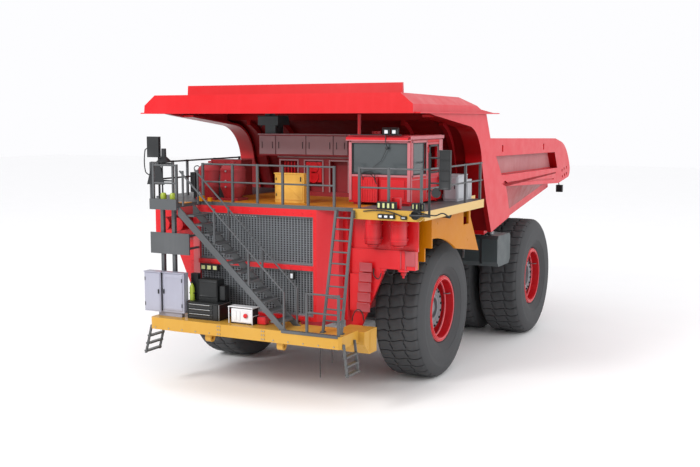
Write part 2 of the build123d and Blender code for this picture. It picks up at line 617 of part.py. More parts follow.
def cab_shell():
    """Cab walls and floor as one hollow box, with window and door openings."""
    w = CAB_WALL
    shell = cut(block(CAB_X0, CAB_X1, CAB_Y0, CAB_Y1, CAB_Z0, CAB_Z1),
                [block(CAB_X0 + w, CAB_X1 - w, CAB_Y0 + w, CAB_Y1 - w, CAB_Z0 + w, CAB_Z1 + 1)])
    windows = [
        block(*SCREEN_X, CAB_Y0 - 1, CAB_Y0 + w + 1, WIN_Z0, WIN_Z1),
        block(CAB_X0 - 1, CAB_X1 + 1, CAB_Y0 + 130, DOOR_Y0 - 120, WIN_Z0, WIN_Z1),
        block(CAB_X0 + 260, CAB_X1 - 260, CAB_Y1 - w - 1, CAB_Y1 + 1, WIN_Z0 + 80, WIN_Z1),
        block(CAB_X0 - 1, CAB_X1 + 1, DOOR_Y0, DOOR_Y1, DOOR_Z0, DOOR_Z1),
    ]
    feet = [block(x, x + 200, y, y + 200, DECK_Z + SEAT_GAP, CAB_Z0 + 5)
            for x in (CAB_X0 + 80, CAB_X1 - 280) for y in (CAB_Y0 + 80, CAB_Y1 - 280)]
    return fuse([cut(shell, windows)] + feet + hinge_lugs(CAB_X0) + hinge_lugs(CAB_X1))


def cab_roof():
    """Roof panel with an overhanging visor, and the mast at its front corner."""
    z = CAB_Z1 + SEAT_GAP
    panel = prism_x([(CAB_Y0 - 90, z), (CAB_Y0 - 90, z + 60), (CAB_Y0 + 40, z + 110), (CAB_Y1 + 50, z + 110),
                     (CAB_Y1 + 50, z)], CAB_X0 - 40, CAB_X1 - 40)
    return fuse([panel, rod((CAB_X0 + 80, -2200, z + 100), (CAB_X0 + 80, -2200, z + 610), 42)])


def cab_glass():
    """Windscreen, rear and front side panes, let into the walls."""
    g, w = SEAT_GAP, CAB_WALL
    mid = CAB_Y0 + w / 2
    panes = [block(SCREEN_X[0] + g, SCREEN_X[1] - g, mid - 5, mid + 5, WIN_Z0 + g, WIN_Z1 - g)]
    for x in (CAB_X0 + w / 2, CAB_X1 - w / 2):
        panes.append(block(x - 5, x + 5, CAB_Y0 + 130 + g, DOOR_Y0 - 120 - g, WIN_Z0 + g, WIN_Z1 - g))
    rear = CAB_Y1 - w / 2
    panes.append(block(CAB_X0 + 260 + g, CAB_X1 - 260 - g, rear - 5, rear + 5, WIN_Z0 + 80 + g, WIN_Z1 - g))
    return panes


def hinge_axis(out):
    """Hinge line of a side door, as (x, y); out is the cab's outer face on that side."""
    return out + (20 if out > CAB_X0 else -20), DOOR_Y0


def hinge_lugs(out):
    """Two pairs of lugs with their pins, beside the door opening."""
    x, y = hinge_axis(out)
    parts = []
    for z in HINGE_Z:
        for dz in (-60, 40):
            parts.append(rod((x, y, z + dz), (x, y, z + dz + 20), 16))
            parts.append(block(min(out, x), max(out, x), y - 50, y, z + dz, z + dz + 20))
        parts.append(rod((x, y, z - 60), (x, y, z + 60), 8))
    return parts


def cab_door(out, turn):
    """Door with its window opening, hinge eyes and pull handle; turn is +1 on the left side."""
    d = DOOR_GAP
    inner = out - turn * DOOR_T
    lo, hi = min(out, inner), max(out, inner)
    door = block(lo, hi, DOOR_Y0 + d, DOOR_Y1 - d, DOOR_Z0 + d, DOOR_Z1 - d)
    door = cut(door, [block(lo - 1, hi + 1, DOOR_Y0 + 110, DOOR_Y1 - 110, WIN_Z0 + 40, DOOR_Z1 - 110)])
    y, x = DOOR_Y1 - 70, out
    grip = CAB_Z0 + 310
    parts = [door, block(x - 15 + turn * 30, x + 15 + turn * 30, y, y + 25, grip, grip + 260)]
    for z in (grip + 20, grip + 220):
        parts.append(block(x - 20 + turn * 15, x + 20 + turn * 15, y, y + 25, z, z + 20))
    hx, hy = hinge_axis(out)
    for z in HINGE_Z:
        parts.append(rod((hx, hy, z - 39), (hx, hy, z + 39), 15))
        parts.append(block(min(hx, out), max(hx, out), hy, hy + 60, z - 39, z + 39))
    return cut(fuse(parts), [rod((hx, hy, z - 70), (hx, hy, z + 70), 8 + RUN_GAP) for z in HINGE_Z])


SEAT_X = (CAB_X0 + CAB_X1) / 2 + 120


def driver_seat():
    x, y, z = SEAT_X, -1500, CAB_Z0 + 320
    return fuse([
        block(x - 120, x + 120, y, y + 280, CAB_Z0 + CAB_WALL + SEAT_GAP, z + 10),
        block(x - 260, x + 260, y - 140, y + 420, z, z + 150),
        prism_x([(y + 320, z + 130), (y + 440, z + 130), (y + 570, z + 910), (y + 460, z + 910)], x - 250, x + 250),
    ])


def steering_console():
    """Dashboard with the column and steering wheel."""
    x, y, z = SEAT_X, CAB_Y0 + CAB_WALL + SEAT_GAP, CAB_Z0
    dash = prism_x([(y, z + 10 + CAB_WALL), (y, z + 650), (y + 230, z + 670), (y + 380, z + 500),
                    (y + 250, z + CAB_WALL + SEAT_GAP)],
                   CAB_X0 + CAB_WALL + SEAT_GAP, CAB_X1 - CAB_WALL - SEAT_GAP)
    column = rod((x, y + 300, z + 500), (x, y + 622, z + 832), 35)
    tilt = Plane(origin=(x, y + 620, z + 830), z_dir=(0, 300, 310))
    wheel = tilt * Torus(220, 18)
    spokes = [tilt * Rot(0, 0, a) * Pos(110, 0, 0) * Box(220, 30, 16) for a in (0, 120, 240)]
    return fuse([dash, column, wheel] + spokes)


# ---- deck equipment -----------------------------------------------------------------
def electrical_cabinets():
    """Band of control cabinets across the deck on a lower row with open recesses."""
    z0, z1, z2 = DECK_Z + SEAT_GAP, DECK_Z + 1070, DECK_Z + 1640
    body = fuse([block(-1650, 1180, -900, 300, z1, z2), block(-1150, 1180, -700, 300, z0, z1 + 40)])
    recess = [block(x, x + 520, -1000, -500, z0 + 120, z1 - 130) for x in (-1080, -320, 440)]
    return cut(body, recess)


def cabinet_duct():
    """Grey air duct on the right end of the cabinet band, bent to the rear."""
    z0 = DECK_Z + 1640 + SEAT_GAP
    return fuse([block(-1500, -1180, -820, -400, z0, z0 + 300),
                 prism_x([(-900, z0 + 240), (-900, z0 + 500), (-350, z0 + 500), (-250, z0 + 240)], -1680, -1050)])


def yellow_cabinet():
    return block(40, 860, -2900, -2750, DECK_Z + SEAT_GAP, DECK_Z + 720)


FILTER_Y = -2800.0


def air_filters():
    """Two air cleaners: domed drums over dust cones, each on its own saddle."""
    out = []
    z0 = DECK_Z + SEAT_GAP
    for x, r, top in ((-1935, 335, 920), (-1255, 325, 940)):
        drum = Pos(x, FILTER_Y, 0) * revolve(Plane.XZ * outline([
            (0, z0 + 40), (r - 110, z0 + 40), (r, z0 + 330), (r, z0 + top - 160),
            ((r * 0.72, z0 + top - 50), (60, z0 + top)), (0, z0 + top),
        ]), Axis.Z)
        out.append(fuse([drum, block(x - r + 40, x + r - 40, FILTER_Y - 260, FILTER_Y + 260, z0, z0 + 60)]))
    return out


def exhaust_duct():
    """Exhaust duct that rises from the deck between the cabinets and the cab."""
    z0 = DECK_Z + SEAT_GAP
    return fuse([block(1300, 1640, -350, 250, z0, z0 + 1510), rod((1470, -50, z0 + 1500), (1470, -50, z0 + 1730), 120)])


def retarder_grids():
    """Housing of the braking resistors on the right-hand walkway."""
    z0 = DECK_Z + SEAT_GAP
    return block(-2820, -1850, -1500, -950, z0, DECK_Z + 950)


def relay_box():
    """Narrow black box outboard of the air cleaners, on a foot."""
    z0 = DECK_Z + SEAT_GAP
    return fuse([block(-2520, -2350, -2880, -2680, z0 + 170, DECK_Z + 680),
                 block(-2470, -2400, -2820, -2740, z0, z0 + 180)])


def deck_lockers():
    """Two grey lockers on the left walkway behind the cab door."""
    z0 = DECK_Z + SEAT_GAP
    return fuse([block(3640, 4010, -690, 10, z0, DECK_Z + 640), block(3640, 4010, 0, 340, z0, DECK_Z + 510)])


def control_cabinet():
    """Light grey cabinet over the right end of the bumper, ahead of the landing's posts."""
    z, y1 = BUMPER_Z1 + SEAT_GAP, -4080 - SEAT_GAP
    return fuse([block(-2930, -2440, -4330, y1, z + 120, z + 1110),
                 block(-2450, -1780, -4260, y1, z + 120, z + 1110),
                 block(-2600, -1900, -4200, y1, z, z + 130)])


def shield_panel():
    """Grey guard plate ahead of the air tanks, on two stays from the radiator frame."""
    plate = block(-2860, -1690, -4140, -4100, 3400, 3930)
    post_face = GRILLE_Y - 60 + 180 * 30 / (POST_RIGHT_X + GRILLE_X0)
    stay = [block(-1990, GRILLE_X0 - 30, -4105, post_face - SEAT_GAP, z, z + 50) for z in (3480, 3800)]
    return fuse([plate] + stay)


def air_tanks():
    """Two receivers lying fore and aft beside the radiator on one saddle."""
    parts = []
    for x in (-2980, -2560):
        parts.append(rod((x, -3420, 4060), (x, -2710, 4060), 170))
    parts.append(block(-3130, -POST_RIGHT_X - SEAT_GAP, -3000, -2920, 3800, 4080))
    return fuse(parts)


def battery_box():
    """Black battery and relay boxes on the bumper, with the white connector box beside."""
    z = BUMPER_Z1 + SEAT_GAP
    return [fuse([block(-1730, -820, -4200, -3740, z, z + 410), block(-1560, -1000, -3960, -3640, z, z + 960)]),
            block(-450, 170, -4200, -3950, z, z + 390)]


def mirrors():
    """Rear-view mirrors on tube arms at both front corners of the walkways."""
    y, z = CAB_DECK_FRONT - 60 - SEAT_GAP, DECK_Z - 70
    left = fuse([
        rod((4120, y, z), (4120, -3900, z), 28),
        rod_x(4095, 4585, -3900, z, 28),
        rod((4560, -3900, z - 20), (4560, -3900, z + 1380), 28),
        rod((4560, -3900, z + 1280), (4850, -3900, z + 1280), 20),
        rod((4560, -3900, z + 730), (4850, -3900, z + 730), 20),
        block(4800, 5050, -3930, -3850, z + 600, z + 1450),
    ])
    yp = DECK_FRONT - 200 - 28 - SEAT_GAP
    right = fuse([
        rod((-2900, yp, z), (-2900, yp, z + 1610), 28),
        rod((-2900, yp, z + 1530), (-2900, yp - 90, z + 1530), 20),
        rod((-2900, yp, z + 1280), (-2900, yp - 90, z + 1280), 20),
        block(-3150, -2780, yp - 150, yp - 70, z + 1160, z + 1680),
    ])
    return [left, right]


# ---- dump body ----------------------------------------------------------------------
FLOOR_FRONT = FLOOR_Y0 + 120.0
CORNER_TOP = 4870.0        # where the sloped corner meets the side wall at the front
RIB_H = 240.0              # depth of the ribs and sills under the floor
PAN_X = BODY_HALF_W - 290  # outer skin of the panel let into the side wall
PAN_T = 40.0


def body_floor():
    """Load floor with its sloped corners, bolsters, sills, pivot ears and hoist lugs."""
    y0, y1, t, w = FLOOR_FRONT, TAIL_Y, BODY_PLATE, BODY_FLOOR_HALF_W
    slab = prism_x([(y0, floor_z(y0)), (y0, floor_z(y0) + t), (y1, floor_z(y1) + t), (y1, floor_z(y1))], -w, w)
    x_out = BODY_HALF_W - t - SEAT_GAP
    corner = loft([
        Plane.XZ.offset(-y) * outline([
            (w - 40, floor_z(y)), (w + 20, floor_z(y)), (x_out, z_up),
            (x_out, z_up + 90), (x_out - 60, z_up + 90), (w - 40, floor_z(y) + t),
        ]) for y, z_up in ((y0, CORNER_TOP), (y1, floor_z(y1) + 130))
    ], ruled=True)
    bolster_end = BODY_PIVOT_Y + 350
    bolster = prism_x([
        (3000, floor_z(3000) + 5), (3000, rail_top(3000) + PAD_T), (bolster_end, rail_top(bolster_end) + PAD_T),
        (y1 - 940, floor_z(y1 - 940) - 120), (y1 - 940, floor_z(y1 - 940) + 5),
    ], RAIL_IN, RAIL_OUT)
    rib_y = [3050 + i * (y1 - 4390) / 5 for i in range(6)]
    cross = [prism_x([(y, floor_z(y) + 5), (y, floor_z(y) - RIB_H), (y + 200, floor_z(y + 200) - RIB_H),
                      (y + 200, floor_z(y + 200) + 5)], 60 - w, w - 50) for y in rib_y]
    sill_end = rib_y[-1] + 200
    sill = prism_x([(rib_y[0], floor_z(rib_y[0]) + 5), (rib_y[0], floor_z(rib_y[0]) - RIB_H),
                    (sill_end, floor_z(sill_end) - RIB_H), (sill_end, floor_z(sill_end) + 5)], w - 60, w)
    ear = prism_x([
        (BODY_PIVOT_Y - 500, floor_z(BODY_PIVOT_Y - 950)), (BODY_PIVOT_Y - 260, BODY_PIVOT_Z),
        ((BODY_PIVOT_Y, BODY_PIVOT_Z - 260), (BODY_PIVOT_Y + 260, BODY_PIVOT_Z)),
        (BODY_PIVOT_Y + 500, floor_z(BODY_PIVOT_Y + 350)),
    ], 430, 570)
    lug = prism_x([
        (HOIST_EYE_Y - 420, floor_z(3000) + 20), (HOIST_EYE_Y - 120, HOIST_EYE_Z - 60),
        ((HOIST_EYE_Y, HOIST_EYE_Z - 130), (HOIST_EYE_Y + 120, HOIST_EYE_Z - 60)),
        (HOIST_EYE_Y + 420, floor_z(3600)),
    ], HOIST_X - 190, HOIST_X - 130)
    pin = rod_x(HOIST_X - 140, HOIST_X + 140, HOIST_EYE_Y, HOIST_EYE_Z, EYE_PIN_R)
    left = [bolster, sill, ear, lug, Pos(320, 0, 0) * lug, corner]
    joined = fuse([slab] + cross + left + [flip(part) for part in left])
    bores = [rod_x(-RAIL_OUT, RAIL_OUT, BODY_PIVOT_Y, BODY_PIVOT_Z, 110 + RUN_GAP)]
    slot = block(HOIST_X - 110, HOIST_X + 110, 2900, 4060, 3000, floor_z(2900) - 2)
    return fuse([cut(joined, bores + both(slot)), pin, flip(pin)])


def body_sides():
    """Side walls with the wing that sweeps up to the canopy, a rail and a panel set inwards."""
    x0, x1, tail = BODY_HALF_W - BODY_PLATE, BODY_HALF_W, TAIL_Y
    wall = prism_x([
        (FLOOR_Y0, FLOOR_Z0), (4110, 3880), ((3930, 4400), (3720, 4800)), (tail - 1310, 4560), (tail - 140, 4700),
        ((tail + 60, 4760), (tail + 160, 5020)), ((tail - 340, 5640), (tail - 1060, 5960)), (tail - 1840, 6090),
        (2270, 6210), (1900, CANOPY_Z0 - SEAT_GAP), (-2160, CANOPY_Z0 - SEAT_GAP), (-1900, 6830), (600, 6550),
        ((1330, 6150), (1580, 5560)), (1970, 4530),
    ], x0, x1)
    edge = [(2780, 5700), (tail - 1890, 5630), (tail - 1530, 5090), (3310, 5140)]
    t = PAN_T
    rim = [(2740, 5740), (tail - 1870, 5670), (tail - 1485, 5050), (3280, 5100)]
    pan = cut(prism_x(rim, PAN_X, x0 + 5), [prism_x(edge, PAN_X + t, x1)])
    marks = [
        prism_x([(3900, 4870), (tail - 1940, 4720), (tail - 1940, 4760), (3900, 4930)], x1 - 30, x1 + 1),
        prism_x([(3330, 4880), (4100, 4835), (3630, 4970)], x1 - 60, x1 + 1),
    ]
    for y, z in ((3355, 5900), (tail - 3250, 5850)):
        marks.append(prism_x([(y - 60, z - 80), ((y, z - 105), (y + 60, z - 80)), (y + 60, z + 80),
                              ((y, z + 105), (y - 60, z + 80))], x1 - 60, x1 + 1))
    for dy, z in ((-890, 4970), (-620, 5020), (-320, 5050), (-830, 4760), (-550, 4800), (-300, 4840)):
        marks.append(rod_x(x0 - 1, x1 + 1, tail + dy, z, 55))
    flange = prism_x([
        (-1500, 6785), (600, 6550), ((1330, 6150), (1580, 5560)), (1970, 4530), (2025, 4550), (1640, 5575),
        ((1385, 6190), (635, 6607)), (-1500, 6842),
    ], x0 - 350, x0 + 5)
    return both(fuse([cut(wall, [prism_x(edge, x0 - 1, x1 + 1)] + marks), pan, flange]))


def body_headboard():
    """Front wall of the load space, which leans forward and curves into the canopy."""
    t = BODY_PLATE
    x = BODY_HALF_W - BODY_PLATE - SEAT_GAP
    yf = FLOOR_FRONT - SEAT_GAP
    wall = prism_x([
        (yf, floor_z(yf)), (2050, 4700), (1700, 5600), ((1400, 6250), (700, 6700)), (700, CANOPY_Z0 - 12),
        (900, CANOPY_Z0 - 12), ((1530, 6330), (1830, 5640)), (2170, 4730), (yf + t, floor_z(yf + t) + t + SEAT_GAP),
        (yf, floor_z(yf) + t + SEAT_GAP),
    ], -x, x)
    ribs = [prism_x([(2560, 3760), (1930, 4720), (1600, 5560), ((1350, 6080), (700, 6560)), (700, 6750),
                     ((1450, 6250), (1720, 5600)), (2070, 4710), (yf, 3760)], xc - 60, xc + 60)
            for xc in (-3000, -1900, 1900, 3000)]
    under_skin = canopy_form(CANOPY_T + SEAT_GAP, CANOPY_Z0 - 50)
    crown = common(block(-x, x, 700, 900, CANOPY_Z0 - 20, CANOPY_Z1), under_skin)
    foot = block(BODY_FLOOR_HALF_W - 40.3, x + 0.3, yf, yf + 300, FLOOR_Z0 - 90, FLOOR_Z0 + 610)
    return cut(fuse([wall, crown] + ribs), both(foot))


CANOPY_Z0, CANOPY_Z1 = 6872.0, 7345.0       # rim and top of the canopy's front edge
CANOPY_T = 90.0
CANOPY_Y0, CANOPY_Y1 = -3080.0, 2650.0
CANOPY_HALF_W = BODY_HALF_W - 40
PARAPET_Y = -2060.0


def canopy_form(inset, foot):
    """Everything under the canopy's skin down to foot: its side view crossed with its front view."""
    w, top, y0, y1 = CANOPY_HALF_W - inset, CANOPY_Z1 - inset, CANOPY_Y0 + inset, CANOPY_Y1 - inset
    side_view = prism_x([(y0, foot - 500), (y0, CANOPY_Z0), (y0 + 30, top), (590, top - 45), (1580, top - 355),
                         (y1, top - 445), (y1, foot - 500)], -w, w)
    front_view = prism_y([(-w, foot), (10 - w, top - 260), (330 - w, top), (w - 330, top), (w - 10, top - 260),
                          (w, foot)], y0, y1)
    return common(side_view, front_view)


def body_canopy():
    """Canopy over cab and decks: a shell open below with an upright plate across its top."""
    shell = cut(canopy_form(0, CANOPY_Z0), [canopy_form(CANOPY_T, CANOPY_Z0 - 50)])
    y = PARAPET_Y
    lips = both(block(CANOPY_HALF_W - 60, BODY_HALF_W + 120, CANOPY_Y0 + 60, CANOPY_Y1, CANOPY_Z0, CANOPY_Z0 + 28))
    foot = CANOPY_Z1 - 50
    parapet = prism_x([(y - 60, foot), (y - 30, foot + 315), (y + 30, foot + 315), (y + 60, foot)], -3110, 3110)
    return fuse([shell, parapet] + lips)


# ---- hoist cylinders ----------------------------------------------------------------
HOIST_L = hypot(HOIST_EYE_Y - HOIST_Y, HOIST_EYE_Z - HOIST_Z)
HOIST_LEAN = degrees(atan2(HOIST_EYE_Y - HOIST_Y, HOIST_EYE_Z - HOIST_Z))
EYE_PIN_R = 60.0
EYE_PLAY = 60.0            # the rod eye's room round its pin


def along_hoist(shape, x=HOIST_X):
    """Stand a shape made along +Z at the base pin, leaned to the rod eye."""
    return Pos(x, HOIST_Y, HOIST_Z) * Rot(-HOIST_LEAN, 0, 0) * shape


def hoist_barrel():
    shape = fuse([
        rod_x(-110, 110, 0, 0, 175),
        rod((0, 0, 120), (0, 0, 1960), 185),
        rod((0, 0, 1880), (0, 0, 1960), 200),
    ])
    shape = cut(shape, [rod_x(-300, 300, 0, 0, 90 + RUN_GAP), rod((0, 0, 230), (0, 0, 2000), 150 + RUN_GAP)])
    return along_hoist(shape)


def hoist_tube():
    shape = cut(rod((0, 0, 250), (0, 0, 1985), 150), [rod((0, 0, 350), (0, 0, 2000), 115 + RUN_GAP)])
    return along_hoist(shape)


def hoist_rod():
    top = HOIST_L
    shape = fuse([rod((0, 0, 370), (0, 0, top - EYE_PIN_R - EYE_PLAY - 10), 115),
                  rod_x(-100, 100, 0, top, EYE_PIN_R + EYE_PLAY + 60)])
    shape = cut(shape, [rod_x(-300, 300, 0, top, EYE_PIN_R + EYE_PLAY)])
    return along_hoist(shape)


# ---- write the nodes ----------------------------------------------------------------
def write(name, things):
    solids = solids_of(things)
    export_step(solids[0] if len(solids) == 1 else Compound(children=solids), f"parts/{name}.step")


def main():
    os.makedirs("parts", exist_ok=True)
    nodes = {
        "main_frame": main_frame(),
        "front_bumper": front_bumper(),
        "suspension_cylinders": suspension_cylinders(),
        "rear_axle": rear_axle(),
        "power_unit": power_unit(),
        "radiator_frame": radiator_frame(),
        "radiator_grille": radiator_grille(),
        "front_shrouds": front_shrouds(),
        "front_fenders": front_fenders(),
        "fuel_tank": side_tank(),
        "hydraulic_tank": flip(side_tank()),
        "main_deck": main_deck(),
        "cab_deck": cab_deck(),
        "deck_supports": deck_supports(),
        "handrails": handrails(),
        "diagonal_stair": diagonal_stair(),
        "front_ladder": front_ladder(),
        "hanging_steps": hanging_steps(),
        "cab_shell": cab_shell(),
        "cab_roof": cab_roof(),
        "cab_glass": cab_glass(),
        "cab_left_door": cab_door(CAB_X1, 1),
        "cab_right_door": cab_door(CAB_X0, -1),
        "driver_seat": driver_seat(),
        "steering_console": steering_console(),
        "electrical_cabinets": electrical_cabinets(),
        "yellow_cabinet": yellow_cabinet(),
        "air_filters": air_filters(),
        "exhaust_duct": exhaust_duct(),
        "retarder_grids": retarder_grids(),
        "relay_box": relay_box(),
        "deck_lockers": deck_lockers(),
        "cabinet_duct": cabinet_duct(),
        "control_cabinet": control_cabinet(),
        "shield_panel": shield_panel(),
        "air_tanks": air_tanks(),
        "battery_box": battery_box(),
        "mirrors": mirrors(),
        "body_floor": body_floor(),
        "body_sides": body_sides(),
        "body_headboard": body_headboard(),
        "body_canopy": body_canopy(),
        "left_knuckle": knuckle(),
        "right_knuckle": flip(knuckle()),
        "tie_rod": tie_rod(),
        "front_left_tyre": at_front(tyre(FRONT_WHEEL_X)),
        "front_right_tyre": at_front(tyre(-FRONT_WHEEL_X)),
        "front_left_rim": at_front(front_rim(FRONT_WHEEL_X)),
        "front_right_rim": flip(at_front(front_rim(FRONT_WHEEL_X))),
        "rear_left_tyres": [at_rear(tyre(x)) for x in (REAR_INNER_X, REAR_OUTER_X)],
        "rear_right_tyres": [at_rear(tyre(-x)) for x in (REAR_INNER_X, REAR_OUTER_X)],
        "rear_left_rims": at_rear(rear_rims(REAR_INNER_X, REAR_OUTER_X)),
        "rear_right_rims": flip(at_rear(rear_rims(REAR_INNER_X, REAR_OUTER_X))),
    }
    for side, turn in (("left", lambda s: s), ("right", flip)):
        nodes[f"{side}_hoist_barrel"] = turn(hoist_barrel())
        nodes[f"{side}_hoist_tube"] = turn(hoist_tube())
        nodes[f"{side}_hoist_rod"] = turn(hoist_rod())
    for name, things in nodes.items():
        write(name, things)


main()
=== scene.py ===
# %% [markdown]
# A mining dump truck: a rigid two-axle truck that carries ore. The CAD frame gives every
# tube, plate and wheel its place. This lesson gives them their finishes and adds the parts
# that are too small or too soft in shape for the frame: tread blocks, bolts, mesh,
# lamps, hoses, hinges and handles.

# %% Load the frame
import bpy
import bmesh
import json
from math import cos, pi, radians, sin
from mathutils import Matrix, Vector


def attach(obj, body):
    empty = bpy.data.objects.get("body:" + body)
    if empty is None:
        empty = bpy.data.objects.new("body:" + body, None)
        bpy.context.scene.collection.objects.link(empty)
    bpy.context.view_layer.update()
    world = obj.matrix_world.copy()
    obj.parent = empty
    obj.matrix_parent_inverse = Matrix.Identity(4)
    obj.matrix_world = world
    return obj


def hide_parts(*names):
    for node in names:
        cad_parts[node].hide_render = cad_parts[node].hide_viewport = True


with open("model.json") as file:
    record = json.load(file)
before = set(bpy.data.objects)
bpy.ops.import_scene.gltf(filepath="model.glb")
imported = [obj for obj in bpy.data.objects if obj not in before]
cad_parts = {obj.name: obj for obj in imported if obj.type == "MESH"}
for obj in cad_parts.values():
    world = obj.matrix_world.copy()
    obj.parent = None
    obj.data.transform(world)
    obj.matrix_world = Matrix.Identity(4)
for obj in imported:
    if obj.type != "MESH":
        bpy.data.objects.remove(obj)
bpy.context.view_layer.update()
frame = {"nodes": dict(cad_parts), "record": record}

# %% [markdown]
# The camera comes first, so that each later piece can be judged from the same place. It
# stands low in front of the truck, a little to its left, with a lens slightly longer than
# normal. It looks down only a little, so upright posts stay nearly upright.

# %% Camera
camera_data = bpy.data.cameras.new("Camera")
camera_data.sensor_width = 36.0
camera_data.lens = 51.4
camera = bpy.data.objects.new("Camera", camera_data)
bpy.context.scene.collection.objects.link(camera)
AZIMUTH, PITCH = radians(26.654), radians(6.574)
look = Vector((-sin(AZIMUTH) * cos(PITCH), cos(AZIMUTH) * cos(PITCH), -sin(PITCH)))
camera.location = (12.786, -24.155, 6.755)
camera.rotation_mode = "QUATERNION"
camera.rotation_quaternion = look.to_track_quat("-Z", "Y")
camera_data.clip_start, camera_data.clip_end = 0.5, 400.0
bpy.context.scene.camera = camera
print("camera at", tuple(camera.location))

# %% [markdown]
# A finish is a tree of shader nodes. Each helper adds one kind of node and links what feeds it,
# so that a finish reads as a list of steps: noise, a ramp that sharpens it, a blend of two
# tints. Colours are given as hex and turned to linear light, which is what the nodes work in.

# %% Helpers for selections, colours and shader nodes
def clear_selection():
    if bpy.context.object and bpy.context.object.mode != "OBJECT":
        bpy.ops.object.mode_set(mode="OBJECT")
    bpy.ops.object.select_all(action="DESELECT")


def linear(hex_colour):
    """A colour written as sRGB hex, as the four linear numbers that a shader takes."""
    channels = [int(hex_colour[i:i + 2], 16) / 255 for i in (1, 3, 5)]
    return [c / 12.92 if c <= 0.04045 else ((c + 0.055) / 1.055) ** 2.4 for c in channels] + [1.0]


def add_node(material, kind, inputs=None, **settings):
    """Adds a shader node; an input that is given as a socket is linked, any other is set."""
    tree = material.node_tree
    new = tree.nodes.new("ShaderNode" + kind)
    for key, value in settings.items():
        setattr(new, key, value)
    for key, value in (inputs or {}).items():
        if isinstance(value, bpy.types.NodeSocket):
            tree.links.new(value, new.inputs[key])
        else:
            new.inputs[key].default_value = value
    return new


def empty_material(name):
    """A material with only its output node, ready to be filled, and its Object coordinates."""
    material = bpy.data.materials.new(name)
    material.use_nodes = True
    material.node_tree.nodes.clear()
    return material, add_node(material, "TexCoord").outputs["Object"]


def noise(material, where, scale, detail, roughness=0.5):
    return add_node(material, "TexNoise", {"Vector": where, "Scale": scale, "Detail": detail,
                                           "Roughness": roughness}).outputs[0]


def split(material, vector):
    return add_node(material, "SeparateXYZ", {0: vector}).outputs


def face_normal(material):
    return split(material, add_node(material, "NewGeometry").outputs["Normal"])


def ramp(material, value, low, high, bottom=0.0, top=1.0):
    """Takes a value between low and high to one between bottom and top."""
    return add_node(material, "MapRange", {0: value, 1: low, 2: high, 3: bottom, 4: top}).outputs[0]


def blend(material, amount, first, second):
    """Mixes two colours, each given as hex or as a socket."""
    first, second = (linear(c) if isinstance(c, str) else c for c in (first, second))
    return add_node(material, "Mix", {0: amount, 6: first, 7: second}, data_type="RGBA").outputs[2]


def combine(material, operation, first, second=0.5):
    return add_node(material, "Math", {0: first, 1: second}, operation=operation).outputs[0]


def bumps(material, height, strength, distance):
    return add_node(material, "Bump", {"Height": height, "Strength": strength, "Distance": distance}).outputs[0]


def surfaced(material, inputs):
    """Ends a material with its surface shader."""
    shader = add_node(material, "BsdfPrincipled", inputs)
    add_node(material, "OutputMaterial", {"Surface": shader.outputs[0]})
    return material


# %% [markdown]
# A plain floor and a soft studio light. One big lamp stands high on the left of the camera, so
# front faces are bright. A weaker one lights the side on the right, and the pale world the rest.

# %% Floor, world and lamps
clear_selection()
bpy.ops.mesh.primitive_plane_add(size=240.0, location=(0, 0, -0.004))
floor = bpy.context.object
floor.name = "floor"
floor_finish, floor_place = empty_material("pale studio floor")
floor_tint = blend(floor_finish, noise(floor_finish, floor_place, 0.6, 3.0), "#FAFAFA", "#FDFDFD")
surfaced(floor_finish, {"Base Color": floor_tint, "Roughness": 0.9})
floor.data.materials.append(floor_finish)

world = bpy.data.worlds.new("studio")
world.use_nodes = True
world.node_tree.nodes["Background"].inputs["Color"].default_value = linear("#FDFDFF")
world.node_tree.nodes["Background"].inputs["Strength"].default_value = 1.0
bpy.context.scene.world = world
bpy.context.scene.view_settings.view_transform = "Standard"


def area_lamp(name, place, target, size, watts):
    data = bpy.data.lights.new(name, "AREA")
    data.shape, data.size, data.energy = "DISK", size, watts
    lamp = bpy.data.objects.new(name, data)
    bpy.context.scene.collection.objects.link(lamp)
    lamp.location = place
    lamp.rotation_mode = "QUATERNION"
    lamp.rotation_quaternion = (Vector(target) - Vector(place)).to_track_quat("-Z", "Y")
    return lamp


area_lamp("key lamp", (-10, -30, 22), (0, 2, 3), 10.0, 6500)
area_lamp("side lamp", (34, 0, 16), (0, 4, 3), 14.0, 2400)
print("stage ready")
